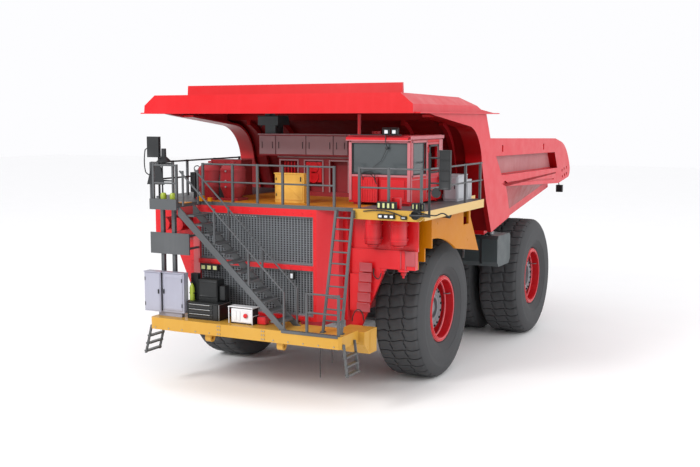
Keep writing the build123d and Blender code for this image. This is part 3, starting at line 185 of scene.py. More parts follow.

# %% [markdown]
# Enamel paint on plate steel. Sprayed enamel gives a smooth coat with a clear gloss over it.
# On a machine that has stood outdoors the colour fades a little in clouds, rain leaves faint
# streaks down the walls, and dust gathers low down. All three are noise that mixes two or
# three tints of one colour, so no wall is a single flat colour. Paint wears off along edges
# and in small chips, where primer or dark steel shows. Tops and flanks are mixed towards a
# pale tint, a painted sheen, and faces turned down towards a deep tint, painted shade; fronts
# keep the plain colour.

# %% Enamel paint
def enamel(name, colour, faded, dusty, gloss=0.32, coat=0.12, dust_height=2.6, chips=0.35,
           bleached=None, sheltered=None, shine=0.3):
    """Worn enamel; the sheen tint paints a sheen on tops and flanks, the shade tint paints shade on undersides."""
    material, where = empty_material(name)
    clouds = noise(material, where, 0.55, 4.0)
    stretched = add_node(material, "Mapping", {"Vector": where, "Scale": (7.0, 7.0, 0.45)}).outputs[0]
    streaks = noise(material, stretched, 1.0, 3.0)
    height = split(material, where)[2]
    low = ramp(material, height, dust_height, 0.3, 0.0, 0.55)
    dust_clouds = noise(material, where, 2.3, 6.0, 0.6)
    tint = blend(material, ramp(material, clouds, 0.42, 0.72, 0.0, 0.75), colour, faded)
    tint = blend(material, ramp(material, streaks, 0.52, 0.8, 0.0, 0.5), tint, faded)
    tint = blend(material, combine(material, "MULTIPLY", low, dust_clouds), tint, dusty)
    # Painted light: faces turned sideways or up get a painted sheen, faces turned down painted shade.
    if bleached:
        facing = face_normal(material)
        sideways = combine(material, "ABSOLUTE", facing[0])
        sheen_amount = combine(material, "MAXIMUM", sideways, facing[2])
        tint = blend(material, ramp(material, sheen_amount, 0.35, 0.9, 0.0, 0.8), tint, bleached)
        if sheltered:
            tint = blend(material, ramp(material, facing[2], -0.35, -0.05, 1.0, 0.0), tint, sheltered)
    # chips about 15 mm across, only where a coarser noise is high, drawn coarse enough to show
    chip_edge = ramp(material, noise(material, where, 38.0, 3.0, 0.7), 0.63, 0.67, 0.0, chips)
    worn_places = ramp(material, dust_clouds, 0.58, 0.72)
    tint = blend(material, combine(material, "MULTIPLY", chip_edge, worn_places), tint, "#3A2E2A")
    return surfaced(material, {
        "Base Color": tint, "Roughness": ramp(material, dust_clouds, 0.3, 0.8, gloss - 0.06, gloss + 0.16),
        "Coat Weight": coat, "Coat Roughness": 0.15, "Specular IOR Level": shine,
        "Normal": bumps(material, noise(material, where, 9.0, 2.0), 0.12, 0.01)})


# Painted light: the sheen tints below paint a sheen on tops and flanks, the shade tints paint shade on undersides.
red_enamel = enamel("red enamel on plate steel", "#CE0C16", "#D4202A", "#A04038",
                    bleached="#C4424A", sheltered="#8E060C")
body_enamel = enamel("red enamel with painted sheen and shade on the dump body", "#C80E16", "#D01C24", "#B05850", gloss=0.36,
                     bleached="#D23E48", sheltered="#8A0408", shine=0.2)
# Painted shade: the headboard under the canopy is given a darker red than the rest of the body.
shaded_headboard_enamel = enamel("red enamel on the sheltered front of the dump body", "#8E0408", "#980A0E", "#7A2A24",
                      gloss=0.5, coat=0.0, bleached="#A01C22", sheltered="#6E0206", shine=0.1)
rim_enamel = enamel("red enamel on rolled rim steel", "#C80E18", "#D42630", "#8E3A34", gloss=0.3, dust_height=1.2)
yellow_enamel = enamel("ochre enamel on plate steel", "#C49236", "#CC9E48", "#A88854", coat=0.05, shine=0.15)
deck_yellow = enamel("orange yellow enamel on plate steel", "#BC7404", "#C27C0C", "#96703A", coat=0.02, shine=0.1)
grey_enamel = enamel("dark grey enamel on steel", "#4C4E50", "#5C5E60", "#6C6862", gloss=0.42, coat=0.1)
tank_enamel = enamel("slate grey enamel on tank plate", "#3E4648", "#4A5254", "#5C5A54", gloss=0.42, coat=0.1)
cabinet_enamel = enamel("lavender grey enamel on cabinet steel", "#9A9AA8", "#A8A8B6", "#908C86", gloss=0.4)
pale_grey_enamel = enamel("pale grey enamel on cabinet steel", "#AEAFB4", "#B8B9BE", "#908C86", gloss=0.4)
black_enamel = enamel("black enamel on steel", "#1C1E1F", "#28292B", "#3A3733", gloss=0.4, coat=0.1)
engine_enamel = enamel("grey enamel on cast iron", "#3C3E40", "#4A4C4E", "#4A463F", gloss=0.5, coat=0.0)
# Painted shade: the air cleaners and retarder grids get a deeper red than the red enamel, for the shade they sit in.
shaded_filter_enamel = enamel("red enamel darkened by painted shade on air cleaner drums", "#8C1A20", "#96282C", "#7A3A34", gloss=0.5,
                       coat=0.0, bleached="#9A4448", shine=0.15)
pale_yellow = enamel("pale ochre enamel on cabinet sheet", "#D8A448", "#DEB05C", "#B89058", coat=0.05, shine=0.15)
print("enamel paints:", len([m for m in bpy.data.materials if "enamel" in m.name]))

# %% [markdown]
# Tyre rubber is carbon black in a matt compound. It greys as it ages, and dust stays in its
# grooves and near the ground. Rod steel is ground and chromed, so it mirrors the room softly.
# Cab glass is laminated and tinted, and in daylight it reads as a dark mirror.

# %% Rubber, steel, glass, cloth and plastic
def plain_finish(name, colour, second, rough, metallic=0.0, scale=3.0, bump=0.1, **shader_settings):
    """A finish of one colour with a second in clouds, a little uneven in gloss and relief."""
    material, where = empty_material(name)
    clouds = noise(material, where, scale, 5.0, 0.6)
    return surfaced(material, {
        "Base Color": blend(material, clouds, colour, second), "Metallic": metallic,
        "Roughness": ramp(material, clouds, 0.3, 0.7, rough - 0.08, min(1.0, rough + 0.08)),
        "Normal": bumps(material, noise(material, where, scale * 12, 2.0), bump, 0.004), **shader_settings})


tyre_rubber = plain_finish("moulded tyre rubber", "#37383A", "#48494B", 0.8, bump=0.25)
hub_grey = plain_finish("grey painted cast hub", "#6A6C70", "#7E8084", 0.5)
bright_steel = plain_finish("ground and chromed rod steel", "#B4B6B8", "#C4C6C8", 0.25, metallic=1.0)
zinc_steel = plain_finish("zinc plated bolt steel", "#8E9092", "#A6A8AA", 0.4, metallic=0.9, scale=20.0)
dark_steel = plain_finish("oiled dark steel", "#2C2D2F", "#3A3B3D", 0.5, metallic=0.6)
window_glass = plain_finish("tinted laminated glass", "#42484A", "#4E5456", 0.12, bump=0.0)
seat_cloth = plain_finish("woven seat cloth", "#242528", "#303236", 0.9)
moulded_plastic = plain_finish("dark moulded plastic", "#1E1F21", "#2A2B2E", 0.55)
hose_rubber = plain_finish("black hose rubber", "#141516", "#202122", 0.6, scale=8.0)
warm_lens = plain_finish("warm ribbed lamp lens", "#B4B878", "#CCCF94", 0.15, scale=12.0, bump=0.3)
lamp_lens = plain_finish("clear ribbed lamp lens", "#D8DCE0", "#ECEEF0", 0.1, scale=12.0, bump=0.3)
white_paint = plain_finish("white painted steel", "#D6D6D8", "#E4E4E6", 0.4)
red_lens = plain_finish("red moulded lens", "#A80C10", "#C01418", 0.25, scale=12.0)
lime_paint = plain_finish("yellow green sprayed paint", "#8A9A1E", "#9CAC30", 0.4)
print("finishes:", len(bpy.data.materials))

# %% [markdown]
# The walkways carry two finishes on one node. Their tops are painted chequer plate, with
# raised lozenges about 40 mm apart that keep a boot from slipping, and their edges are plain.
# A face's own normal tells the two apart, so the node's mesh stays as it is. On the cab deck
# the edges that face forwards are mixed to a deeper ochre than the cream side edges: this is
# painted light and shade on one paint.

# %% Walkway finish
def walkway_finish(name, top_colour, edge_colour, landing_x, front_shade_colour=None):
    """Chequer plate on top and plain paint on the edges; right of landing_x the top is grey. The last argument is a
    painted shade tint for edges that face forwards.
    """
    material, where = empty_material(name)
    place = split(material, where)
    normal = face_normal(material)
    is_top = ramp(material, normal[2], 0.7, 0.8)
    # Painted shade: edges that face forwards are mixed towards the front tint.
    front_shade_mask = ramp(material, normal[1], -0.8, -0.6, 1.0, 0.0)
    is_main = ramp(material, place[0], landing_x, landing_x + 0.01)
    aslant = add_node(material, "Mapping", {"Vector": where, "Rotation": (0.0, 0.0, radians(45))}).outputs[0]
    lozenges = add_node(material, "TexVoronoi", {"Vector": aslant, "Scale": 25.0, "Randomness": 0.0})
    clouds = noise(material, where, 1.6, 5.0)
    top = blend(material, is_main, "#4E4F52", top_colour)
    scuffed = blend(material, clouds, top, "#6A5A48")
    top = blend(material, ramp(material, clouds, 0.5, 0.8, 0.0, 0.5), top, scuffed)
    edge = blend(material, front_shade_mask, edge_colour, front_shade_colour or edge_colour)
    relief = combine(material, "MULTIPLY", lozenges.outputs["Distance"], is_top)
    return surfaced(material, {"Base Color": blend(material, is_top, edge, top), "Roughness": 0.5,
                               "Normal": bumps(material, relief, 0.4, 0.006)})


main_walkway = walkway_finish("painted chequer plate", "#C47A12", "#4A4D4F", -1.8)
# The cream and the deeper ochre are one paint: painted light on the side edges, painted shade on the front edges.
cab_walkway = walkway_finish("painted chequer plate with cream edges", "#55585A", "#D2B070", 2.0, "#BE922E")

# %% [markdown]
# Each CAD node takes the finish of its material slot in the record, apart from the few that
# have a finish of their own.

# %% Finish the CAD nodes
slot_finish = {
    "red_paint": red_enamel, "yellow_paint": yellow_enamel, "grey_paint": grey_enamel,
    "light_grey_paint": cabinet_enamel, "black_paint": black_enamel, "tyre_rubber": tyre_rubber,
    "steel": bright_steel, "glass": window_glass, "seat_fabric": seat_cloth,
    "dark_plastic": moulded_plastic, "engine_paint": engine_enamel,
}
own_finish = {
    "main_deck": main_walkway, "cab_deck": cab_walkway, "front_fenders": deck_yellow,
    "fuel_tank": tank_enamel, "hydraulic_tank": tank_enamel, "body_floor": body_enamel,
    "body_sides": body_enamel, "body_headboard": shaded_headboard_enamel, "body_canopy": body_enamel,
    "front_left_rim": rim_enamel, "front_right_rim": rim_enamel, "rear_left_rims": rim_enamel,
    "rear_right_rims": rim_enamel, "cabinet_duct": tank_enamel, "deck_lockers": pale_grey_enamel,
    "air_filters": shaded_filter_enamel, "yellow_cabinet": pale_yellow, "retarder_grids": shaded_filter_enamel,
}
for subpart in frame["record"]["subparts"]:
    node = frame["nodes"][subpart["node"]]
    node.data.materials.clear()
    node.data.materials.append(own_finish.get(subpart["node"], slot_finish[subpart["material_slot"]]))

# %% [markdown]
# The new pieces are plates, bars, drums and pipes, so a few helpers make each kind the way a
# hand would: a primitive at its size, edges bevelled in edit mode, faces picked by their
# place. A finished piece has its place in its mesh, its name, its finish and the body that it
# rides on.

# %% Helpers for pieces
LEFT, REAR, UP, FRONT = (1, 0, 0), (0, 1, 0), (0, 0, 1), (0, -1, 0)


def pick(piece):
    """Selects the piece alone, so that the next operator works on it."""
    clear_selection()
    piece.select_set(True)
    bpy.context.view_layer.objects.active = piece


def new_piece(name, data):
    """An object in the scene for a mesh or curve, picked."""
    piece = bpy.data.objects.new(name, data)
    bpy.context.scene.collection.objects.link(piece)
    pick(piece)
    return piece


def edit_faces(piece, test):
    """Opens the piece in edit mode with only the faces that pass the test selected."""
    pick(piece)
    bpy.ops.object.mode_set(mode="EDIT")
    bpy.ops.mesh.select_mode(type="FACE")
    bpy.ops.mesh.select_all(action="DESELECT")
    shape = bmesh.from_edit_mesh(piece.data)
    for face in shape.faces:
        face.select = test(face.calc_center_median(), face.normal)
    bmesh.update_edit_mesh(piece.data)


def object_mode():
    bpy.ops.object.mode_set(mode="OBJECT")


def plate(low, high, bevel=0.006, segments=1):
    """A block between two corners, in metres, with its edges bevelled."""
    clear_selection()
    bpy.ops.mesh.primitive_cube_add(size=1.0, location=[(a + b) / 2 for a, b in zip(low, high)])
    piece = bpy.context.object
    piece.scale = [b - a for a, b in zip(low, high)]
    bpy.ops.object.transform_apply(location=True, rotation=True, scale=True)
    if bevel:
        bpy.ops.object.mode_set(mode="EDIT")
        bpy.ops.mesh.select_all(action="SELECT")
        bpy.ops.mesh.bevel(offset=bevel, segments=segments, affect="EDGES")
        object_mode()
    return piece


def panelled_plate(low, high, facing, frame_width, depth, bevel=0.006):
    """A plate whose face on the facing side is set back inside a frame, as a pressed door is."""
    piece = plate(low, high, 0)
    edit_faces(piece, lambda centre, normal: normal.dot(Vector(facing)) > 0.9)
    bpy.ops.mesh.inset(thickness=frame_width, depth=0.0)
    bpy.ops.mesh.inset(thickness=abs(depth), depth=-depth)
    bpy.ops.mesh.select_all(action="SELECT")
    bpy.ops.mesh.bevel(offset=bevel, segments=1, affect="EDGES")
    object_mode()
    return piece


def drum(foot, head, radius, sides=20, bevel=0.0, rims=()):
    """A round bar from foot to head; each (inset, depth) pair in rims steps its head face."""
    clear_selection()
    foot, head = Vector(foot), Vector(head)
    bpy.ops.mesh.primitive_cylinder_add(vertices=sides, radius=radius, depth=(head - foot).length)
    piece = bpy.context.object
    if rims:
        edit_faces(piece, lambda centre, normal: normal.z > 0.9)
        for inset, depth in rims:
            bpy.ops.mesh.inset(thickness=inset, depth=0.0)
            bpy.ops.mesh.extrude_region_move(TRANSFORM_OT_translate={"value": (0, 0, depth)})
        object_mode()
    if bevel:
        edit_faces(piece, lambda centre, normal: abs(normal.z) > 0.9)
        bpy.ops.mesh.bevel(offset=bevel, segments=2, affect="EDGES")
        object_mode()
    turn = (head - foot).to_track_quat("Z", "Y").to_matrix().to_4x4()
    piece.data.transform(Matrix.Translation((foot + head) / 2) @ turn)
    return piece


def pipe(points, radius, sides=8, handle=0.35):
    """A round pipe or hose through the points, with rounded corners."""
    curve = bpy.data.curves.new("pipe", "CURVE")
    curve.dimensions, curve.bevel_depth, curve.bevel_resolution = "3D", radius, max(0, sides // 4 - 1)
    curve.use_fill_caps = True
    route = curve.splines.new("BEZIER")
    route.bezier_points.add(len(points) - 1)
    route.resolution_u = 5
    for i, (knot, here) in enumerate(zip(route.bezier_points, map(Vector, points))):
        before, after = Vector(points[max(i - 1, 0)]), Vector(points[min(i + 1, len(points) - 1)])
        along = (after - before).normalized()
        knot.co = here
        knot.handle_left = here - along * handle * (here - before).length
        knot.handle_right = here + along * handle * (after - here).length
    new_piece("pipe", curve)
    bpy.ops.object.convert(target="MESH")
    return bpy.context.object


def bar(points, radius, sides=8):
    """A tube bent sharply at its corners, as welded rail is."""
    return pipe(points, radius, sides, handle=0.0)


def turned(profile, centre, axis=LEFT, steps=32):
    """Spins an outline of (along the axis, radius) pairs round the axis through centre."""
    axis = Vector(axis)
    side = axis.orthogonal().normalized() if abs(axis.z) > 0.9 else Vector(UP)
    mesh = bpy.data.meshes.new("turned")
    corners = [Vector(centre) + axis * a + side * r for a, r in profile]
    mesh.from_pydata(corners, [(i, i + 1) for i in range(len(corners) - 1)], [])
    piece = new_piece("turned", mesh)
    bpy.ops.object.mode_set(mode="EDIT")
    bpy.ops.mesh.select_all(action="SELECT")
    bpy.ops.mesh.spin(steps=steps, angle=2 * pi, center=centre, axis=axis)
    bpy.ops.mesh.select_all(action="SELECT")
    bpy.ops.mesh.remove_doubles(threshold=0.0004)
    bpy.ops.mesh.normals_make_consistent(inside=False)
    object_mode()
    return piece


def joined(pieces):
    """Joins pieces into the first one."""
    clear_selection()
    for piece in pieces:
        piece.select_set(True)
    bpy.context.view_layer.objects.active = pieces[0]
    if len(pieces) > 1:
        bpy.ops.object.join()
    return bpy.context.object


def copies(pattern, places):
    """One mesh of copies of a small piece, each moved by its matrix; the pattern is used up."""
    gathered = bmesh.new()
    for place in places:
        mesh = pattern.data.copy()
        mesh.transform(place)
        gathered.from_mesh(mesh)
        bpy.data.meshes.remove(mesh)
    gathered.to_mesh(pattern.data)
    gathered.free()
    return pattern


def at(x, y, z):
    return Matrix.Translation((x, y, z))


def mirrored(piece):
    """A copy of the piece on the other side of the centre plane, with its faces turned out."""
    twin = piece.copy()
    twin.data = piece.data.copy()
    bpy.context.scene.collection.objects.link(twin)
    twin.data.transform(Matrix.Scale(-1, 4, LEFT))
    twin.data.flip_normals()
    return twin


def done(piece, name, finish, body="chassis", smooth=32):
    """Names a piece, or pieces to join, and sets the finish and the body it rides on."""
    if isinstance(piece, list):
        piece = joined(piece)
    piece.name = name
    piece.data.materials.clear()
    piece.data.materials.append(finish)
    pick(piece)
    bpy.ops.object.shade_smooth_by_angle(angle=radians(smooth))
    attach(piece, body)
    return piece


# %% [markdown]
# The tyres are the largest thing on the truck, and their tread is open to view. A rock tyre
# has deep lugs with narrow wavy grooves between them, and two zigzag grooves round it. The
# tread is built from one lug of each column: a grid, extruded to its depth and bevelled at
# its crown, then wrapped round the tyre. Real gaps throw real shadows, which bump can't do.

# %% Tread lugs
TYRE_RADIUS, TREAD_DEPTH, PITCHES = 1.7997, 0.045, 38
PITCH = 2 * pi * TYRE_RADIUS / PITCHES
GROOVE = 0.030
TREAD_EDGE, ZIGZAG_AT = 0.560, 0.19
AXLE_HEIGHT, WHEELBASE = 1.8, 6.46
FRONT_WHEEL_X, REAR_INNER_X, REAR_OUTER_X = 2.826, 1.82, 3.32


def crown(across):
    """Radius of the tread's surface at a distance from the tyre's centre plane."""
    shoulder = max(0.0, abs(across) - 0.423)
    return TYRE_RADIUS - 0.008 * min(1.0, abs(across) / 0.423) ** 2 - 20.0 * shoulder ** 3


def lug(inner, outer, divisions, shift):
    """One lug between two distances from the centre plane, wrapped on the tyre at angle 0."""
    clear_selection()
    bpy.ops.mesh.primitive_grid_add(x_subdivisions=divisions, y_subdivisions=4, size=1.0)
    block = bpy.context.object
    bpy.ops.object.mode_set(mode="EDIT")
    bpy.ops.mesh.select_all(action="SELECT")
    bpy.ops.mesh.extrude_region_move(TRANSFORM_OT_translate={"value": (0, 0, 1.0)})
    bpy.ops.mesh.select_all(action="SELECT")
    bpy.ops.mesh.normals_make_consistent(inside=False)
    object_mode()
    edge = 0.03
    for vertex in block.data.vertices:
        s, t, top = vertex.co.x + 0.5, vertex.co.y + 0.5, vertex.co.z > 0.5
        across = inner + (outer - inner) * s
        zigzag = 0.028 * sin(2 * pi * t)
        if abs(inner) < 0.3:
            across += zigzag * (1 - s)
        if abs(outer) < 0.3:
            across += zigzag * s
        along = (t - 0.5) * (PITCH - GROOVE) + 0.026 * sin(2 * pi * across / 0.45) + shift
        radius = crown(across) - (0.0 if top else TREAD_DEPTH + 0.025)
        on_rim = min(s, 1 - s, t, 1 - t) < 0.01
        if top and on_rim:
            radius -= 0.012
        if top and not on_rim and (t < 0.26 or t > 0.74):
            along += (PITCH / 4 - edge) * (-1 if t < 0.5 else 1)
        angle = along / TYRE_RADIUS
        vertex.co = (across, radius * sin(angle), radius * cos(angle))
    return block


lugs = joined([
    lug(-TREAD_EDGE, -ZIGZAG_AT - GROOVE / 2, 8, -PITCH * 0.15),
    lug(-ZIGZAG_AT + GROOVE / 2, ZIGZAG_AT - GROOVE / 2, 8, 0.0),
    lug(ZIGZAG_AT + GROOVE / 2, TREAD_EDGE, 8, PITCH * 0.15),
])
copies(lugs, [Matrix.Rotation(2 * pi * i / PITCHES, 4, "X") for i in range(PITCHES)])
print("tread lugs:", 3 * PITCHES, "triangles", sum(len(p.vertices) - 2 for p in lugs.data.polygons))

# %% [markdown]
# Under the lugs is the carcass: a turned outline from bead to bead. Its side walls bulge to
# their widest at mid height, with a rim guard low down and a fine ring below the shoulder.

# %% Carcass and the six tyres
side_wall = [
    (0.478, 0.802), (0.478, 0.885), (0.535, 0.900), (0.566, 0.935), (0.578, 0.985), (0.600, 1.005),
    (0.638, 1.095), (0.646, 1.112), (0.653, 1.112), (0.661, 1.160), (0.671, 1.250), (0.673, 1.330),
    (0.672, 1.400), (0.664, 1.490), (0.668, 1.505), (0.664, 1.520), (0.653, 1.580), (0.640, 1.610),
    (0.615, 1.668), (0.585, 1.712), (0.562, 1.738),
]
under_tread = [(u, crown(u) - TREAD_DEPTH) for u in (0.545, 0.500, 0.440, 0.300, 0.150, 0.0)]
half = side_wall + under_tread
outline = half + [(-u, r) for u, r in reversed(half[:-1])] + [half[0]]
carcass = turned(outline, (0, 0, 0), steps=96)
tyre_shape = joined([carcass, lugs])
for name, centre_x, centre_y, body in (
        ("front_left_tyre", [FRONT_WHEEL_X], 0.0, "front_left_wheel"),
        ("front_right_tyre", [-FRONT_WHEEL_X], 0.0, "front_right_wheel"),
        ("rear_left_tyres", [REAR_INNER_X, REAR_OUTER_X], WHEELBASE, "rear_left_wheels"),
        ("rear_right_tyres", [-REAR_INNER_X, -REAR_OUTER_X], WHEELBASE, "rear_right_wheels")):
    tyre = tyre_shape.copy()
    tyre.data = tyre_shape.data.copy()
    bpy.context.scene.collection.objects.link(tyre)
    copies(tyre, [at(x, centre_y, AXLE_HEIGHT) for x in centre_x])
    done(tyre, name + "_treaded", tyre_rubber, body, smooth=40)
    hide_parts(name)
bpy.data.objects.remove(tyre_shape)
print("tyre triangles:", sum(len(p.vertices) - 2 for p in tyre.data.polygons))

# %% [markdown]
# Each rim is red outside and carries a grey hub inside. The node is one mesh, so its finish
# turns grey inside a given distance from the axle. That distance doesn't change when the
# wheel rolls or steers, because the pattern turns with the piece.

# %% Rim and hub finish
HUB_EDGE = 0.70            # radius where the grey hub ends and the red rim begins


def rim_finish(name, axle_y):
    material, where = empty_material(name)
    from_axle = add_node(material, "Mapping", {"Vector": where, "Location": (0.0, -axle_y, -AXLE_HEIGHT),
                                               "Scale": (0.0, 1.0, 1.0)}).outputs[0]
    radius = add_node(material, "VectorMath", {0: from_axle}, operation="LENGTH").outputs["Value"]
    clouds = noise(material, where, 2.5, 5.0, 0.6)
    colour = blend(material, ramp(material, radius, HUB_EDGE - 0.002, HUB_EDGE + 0.002, 1.0, 0.0),
                   blend(material, clouds, "#B80A14", "#CE1620"), blend(material, clouds, "#5E6266", "#7A7E82"))
    return surfaced(material, {"Base Color": colour, "Roughness": 0.34, "Coat Weight": 0.25,
                               "Coat Roughness": 0.15})


front_rim_finish = rim_finish("red rim enamel round a grey front hub", 0.0)
rear_rim_finish = rim_finish("red rim enamel round a grey rear hub", WHEELBASE)
for side in ("left", "right"):
    frame["nodes"][f"front_{side}_rim"].data.materials[0] = front_rim_finish
    frame["nodes"][f"rear_{side}_rims"].data.materials[0] = rear_rim_finish

# %% [markdown]
# A rim of this size is built up from a base, flanges and a lock ring, held by a ring of
# wedges and studs. The lock ring and the gutter ring are turned, and the nuts are one bevelled
# hexagon copied round the wheel.

# %% Rim rings, nuts and hub caps
def hexagon(radius, height):
    """A hexagon nut on its washer, standing out along +X from x = 0."""
    washer = drum((0, 0, 0), (height * 0.2, 0, 0), radius * 1.25, sides=12)
    nut = drum((0, 0, 0), (height, 0, 0), radius, sides=6, bevel=radius * 0.12)
    return joined([washer, nut])


def nut_ring(centre, count, ring_radius, nut_radius, height, start=0.0):
    """Nuts in a ring round an axle, all facing +X."""
    places = []
    for i in range(count):
        angle = start + 2 * pi * i / count
        places.append(at(centre[0], centre[1] + ring_radius * cos(angle), centre[2] + ring_radius * sin(angle)))
    return copies(hexagon(nut_radius, height), places)


def wheel_face(centre_x, centre_y, front):
    """Rings in rim red and metal pieces in hub grey for the outer face of one left wheel."""
    middle = (centre_x, centre_y, AXLE_HEIGHT)
    flange = turned([(0.524, 0.772), (0.524, 0.842), (0.545, 0.850), (0.556, 0.838), (0.552, 0.800), (0.560, 0.786),
                     (0.548, 0.770), (0.524, 0.772)], middle, steps=72)
    rings = joined([
        turned([(0.524, 0.850), (0.532, 0.868), (0.540, 0.862), (0.536, 0.848), (0.524, 0.850)], middle, steps=72),
        turned([(0.556, 0.784), (0.568, 0.790), (0.572, 0.780), (0.560, 0.772), (0.556, 0.784)], middle, steps=72),
        turned([(0.30, 0.767), (0.30, 0.750), (0.33, 0.745), (0.345, 0.767), (0.30, 0.767)], middle, steps=72),
    ])
    if front:
        metal = [
            nut_ring((centre_x + 0.008, centre_y, AXLE_HEIGHT), 20, 0.62, 0.030, 0.055),
            nut_ring((centre_x + 0.218, centre_y, AXLE_HEIGHT), 12, 0.212, 0.016, 0.026),
            nut_ring((centre_x + 0.088, centre_y, AXLE_HEIGHT), 16, 0.285, 0.020, 0.034, 0.2),
            turned([(0.249, 0.0), (0.285, 0.0), (0.285, 0.11), (0.268, 0.135), (0.249, 0.14)], middle),
            turned([(0.060, 0.590), (0.245, 0.580), (0.285, 0.560), (0.298, 0.545), (0.298, 0.300), (0.292, 0.270),
                    (0.250, 0.270), (0.060, 0.270), (0.060, 0.590)], middle, steps=48),
            turned([(0.298, 0.420), (0.308, 0.415), (0.308, 0.365), (0.298, 0.360), (0.298, 0.420)], middle, steps=48),
        ]
    else:
        metal = [
            nut_ring((centre_x + 0.129, centre_y, AXLE_HEIGHT), 24, 0.585, 0.026, 0.045),
            turned([(0.249, 0.0), (0.310, 0.0), (0.310, 0.085), (0.296, 0.10), (0.280, 0.148), (0.249, 0.155)],
                   middle),
            turned([(0.128, 0.66), (0.165, 0.65), (0.165, 0.63), (0.128, 0.62), (0.128, 0.66)], middle, steps=48),
            turned([(0.130, 0.560), (0.315, 0.550), (0.350, 0.530), (0.362, 0.515), (0.362, 0.360), (0.352, 0.320),
                    (0.300, 0.312), (0.130, 0.312), (0.130, 0.560)], middle, steps=48),
            drum((centre_x + 0.21, centre_y - 0.3, AXLE_HEIGHT - 0.05), (centre_x + 0.30, centre_y - 0.3,
                 AXLE_HEIGHT - 0.05), 0.045, bevel=0.006),
            drum((centre_x + 0.21, centre_y - 0.2, AXLE_HEIGHT - 0.24), (centre_x + 0.27, centre_y - 0.2,
                 AXLE_HEIGHT - 0.24), 0.035, bevel=0.006),
        ]
    valve = [pipe([(centre_x + 0.50, centre_y + 0.70, AXLE_HEIGHT + 0.30),
                   (centre_x + 0.42, centre_y + 0.66, AXLE_HEIGHT + 0.28),
                   (centre_x + 0.30, centre_y + 0.69, AXLE_HEIGHT + 0.29)], 0.012)]
    return rings, joined(metal + valve), flange


lock_ring_enamel = enamel("chalky red enamel on lock rings", "#DC6068", "#E47A80", "#B86058", dust_height=1.2)
for place, centre_x, centre_y, front in (
        ("front", FRONT_WHEEL_X, 0.0, True), ("rear", REAR_OUTER_X, WHEELBASE, False)):
    rings, metal, flange = wheel_face(centre_x, centre_y, front)
    bolt_x, bolt_ring = (0.296, 0.490) if front else (0.360, 0.450)
    bolts_ring = nut_ring((centre_x + bolt_x, centre_y, AXLE_HEIGHT), 16, bolt_ring, 0.026, 0.040, 0.1)
    other_rings, other_metal, other_bolts = mirrored(rings), mirrored(metal), mirrored(bolts_ring)
    flanges = {"left": flange, "right": mirrored(flange)}
    for side, ring_piece, metal_piece in (("left", rings, metal), ("right", other_rings, other_metal)):
        body = f"{place}_{side}_wheel" + ("" if front else "s")
        done(ring_piece, f"{place}_{side}_lock_rings", lock_ring_enamel, body)
        done(flanges[side], f"{place}_{side}_rim_flange", rim_enamel, body)
        done(bolts_ring if side == "left" else other_bolts, f"{place}_{side}_hub_bolts", dark_steel, body)
        done(metal_piece, f"{place}_{side}_wheel_nuts", hub_grey, body)
print("wheel faces ready")

# %% [markdown]
# The radiator is closed by upright bars with a wire mesh on them. The bars are in the frame
# already, so the mesh is two sets of thin wires: level ones across the bars' front and upright
# ones behind them. Wires this thin are square, with only six faces each.

# %% Wire mesh on the grille bars
GRILLE_Y = -3.33
screens = ((2.0, 3.115), (3.24, 4.415))
wires = []
for foot, head in screens:
    count = int((head - foot) / 0.055)
    for i in range(1, count):
        wires.append(at(-0.245, GRILLE_Y + 0.004, foot + (head - foot) * i / count))
mesh_wires = copies(plate((-1.65, -0.004, -0.005), (1.65, 0.004, 0.005), 0), wires)
uprights = copies(plate((-0.005, -0.004, -0.56), (0.005, 0.004, 0.56), 0),
                  [at(-1.87 + 3.26 * i / 79, GRILLE_Y + 0.085, (foot + head) / 2)
                   for foot, head in screens for i in range(80)])
wire_grey = plain_finish("galvanised wire", "#7E8286", "#92969A", 0.5, scale=20.0)
done([mesh_wires, uprights], "grille_wire_mesh", wire_grey)
frame["nodes"]["radiator_grille"].data.materials[0] = plain_finish(
    "grey powder coat on grille bars", "#6E7276", "#7C8084", 0.5)
# Painted shade: the core and engine behind the grille are near black, darker than their paint.
frame["nodes"]["power_unit"].data.materials[0] = plain_finish(
    "near black core and engine in painted shade", "#131415", "#1E1F20", 0.7)
print("mesh wires:", len(wires))

# %% [markdown]
# Bolts hold the radiator frame, the grille screens and the bumper. One hexagon head is made
# facing forwards and copied along each edge, spaced as real bolts would be.

# %% Bolt rows on the front
def bolt_row(start, end, count):
    start, end = Vector(start), Vector(end)
    return [start.lerp(end, i / (count - 1)) for i in range(count)]


def bolts(places, facing, name, finish=zinc_steel, body="chassis", radius=0.018, height=0.014):
    """Hexagon heads at the places, all facing one way."""
    turn = Vector(LEFT).rotation_difference(Vector(facing)).to_matrix().to_4x4()
    pattern = drum((0, 0, 0), (height, 0, 0), radius, sides=6)
    copies(pattern, [Matrix.Translation(place) @ turn for place in places])
    return done(pattern, name, finish, body)


front_places = []
for z in (3.15, 3.205):
    front_places += bolt_row((-1.85, GRILLE_Y - 0.11, z), (1.36, GRILLE_Y - 0.11, z), 12)
front_places += bolt_row((1.45, GRILLE_Y - 0.12, 2.1), (1.45, GRILLE_Y - 0.12, 4.5), 12)
front_places += bolt_row((-1.85, GRILLE_Y - 0.12, 4.5), (1.36, GRILLE_Y - 0.12, 4.5), 14)
front_places += bolt_row((-1.85, GRILLE_Y - 0.12, 1.95), (1.36, GRILLE_Y - 0.12, 1.95), 14)
bolts(front_places, FRONT, "radiator_frame_bolts", finish=red_enamel)

# %% [markdown]
# The bumper carries a thin dark tread strip where the crew step from the ladder to the stair,
# a bolted seam at the middle and a plate welded round each end. The strip is a plate with
# raised cleats. Under its left half hang two thin marker rods.

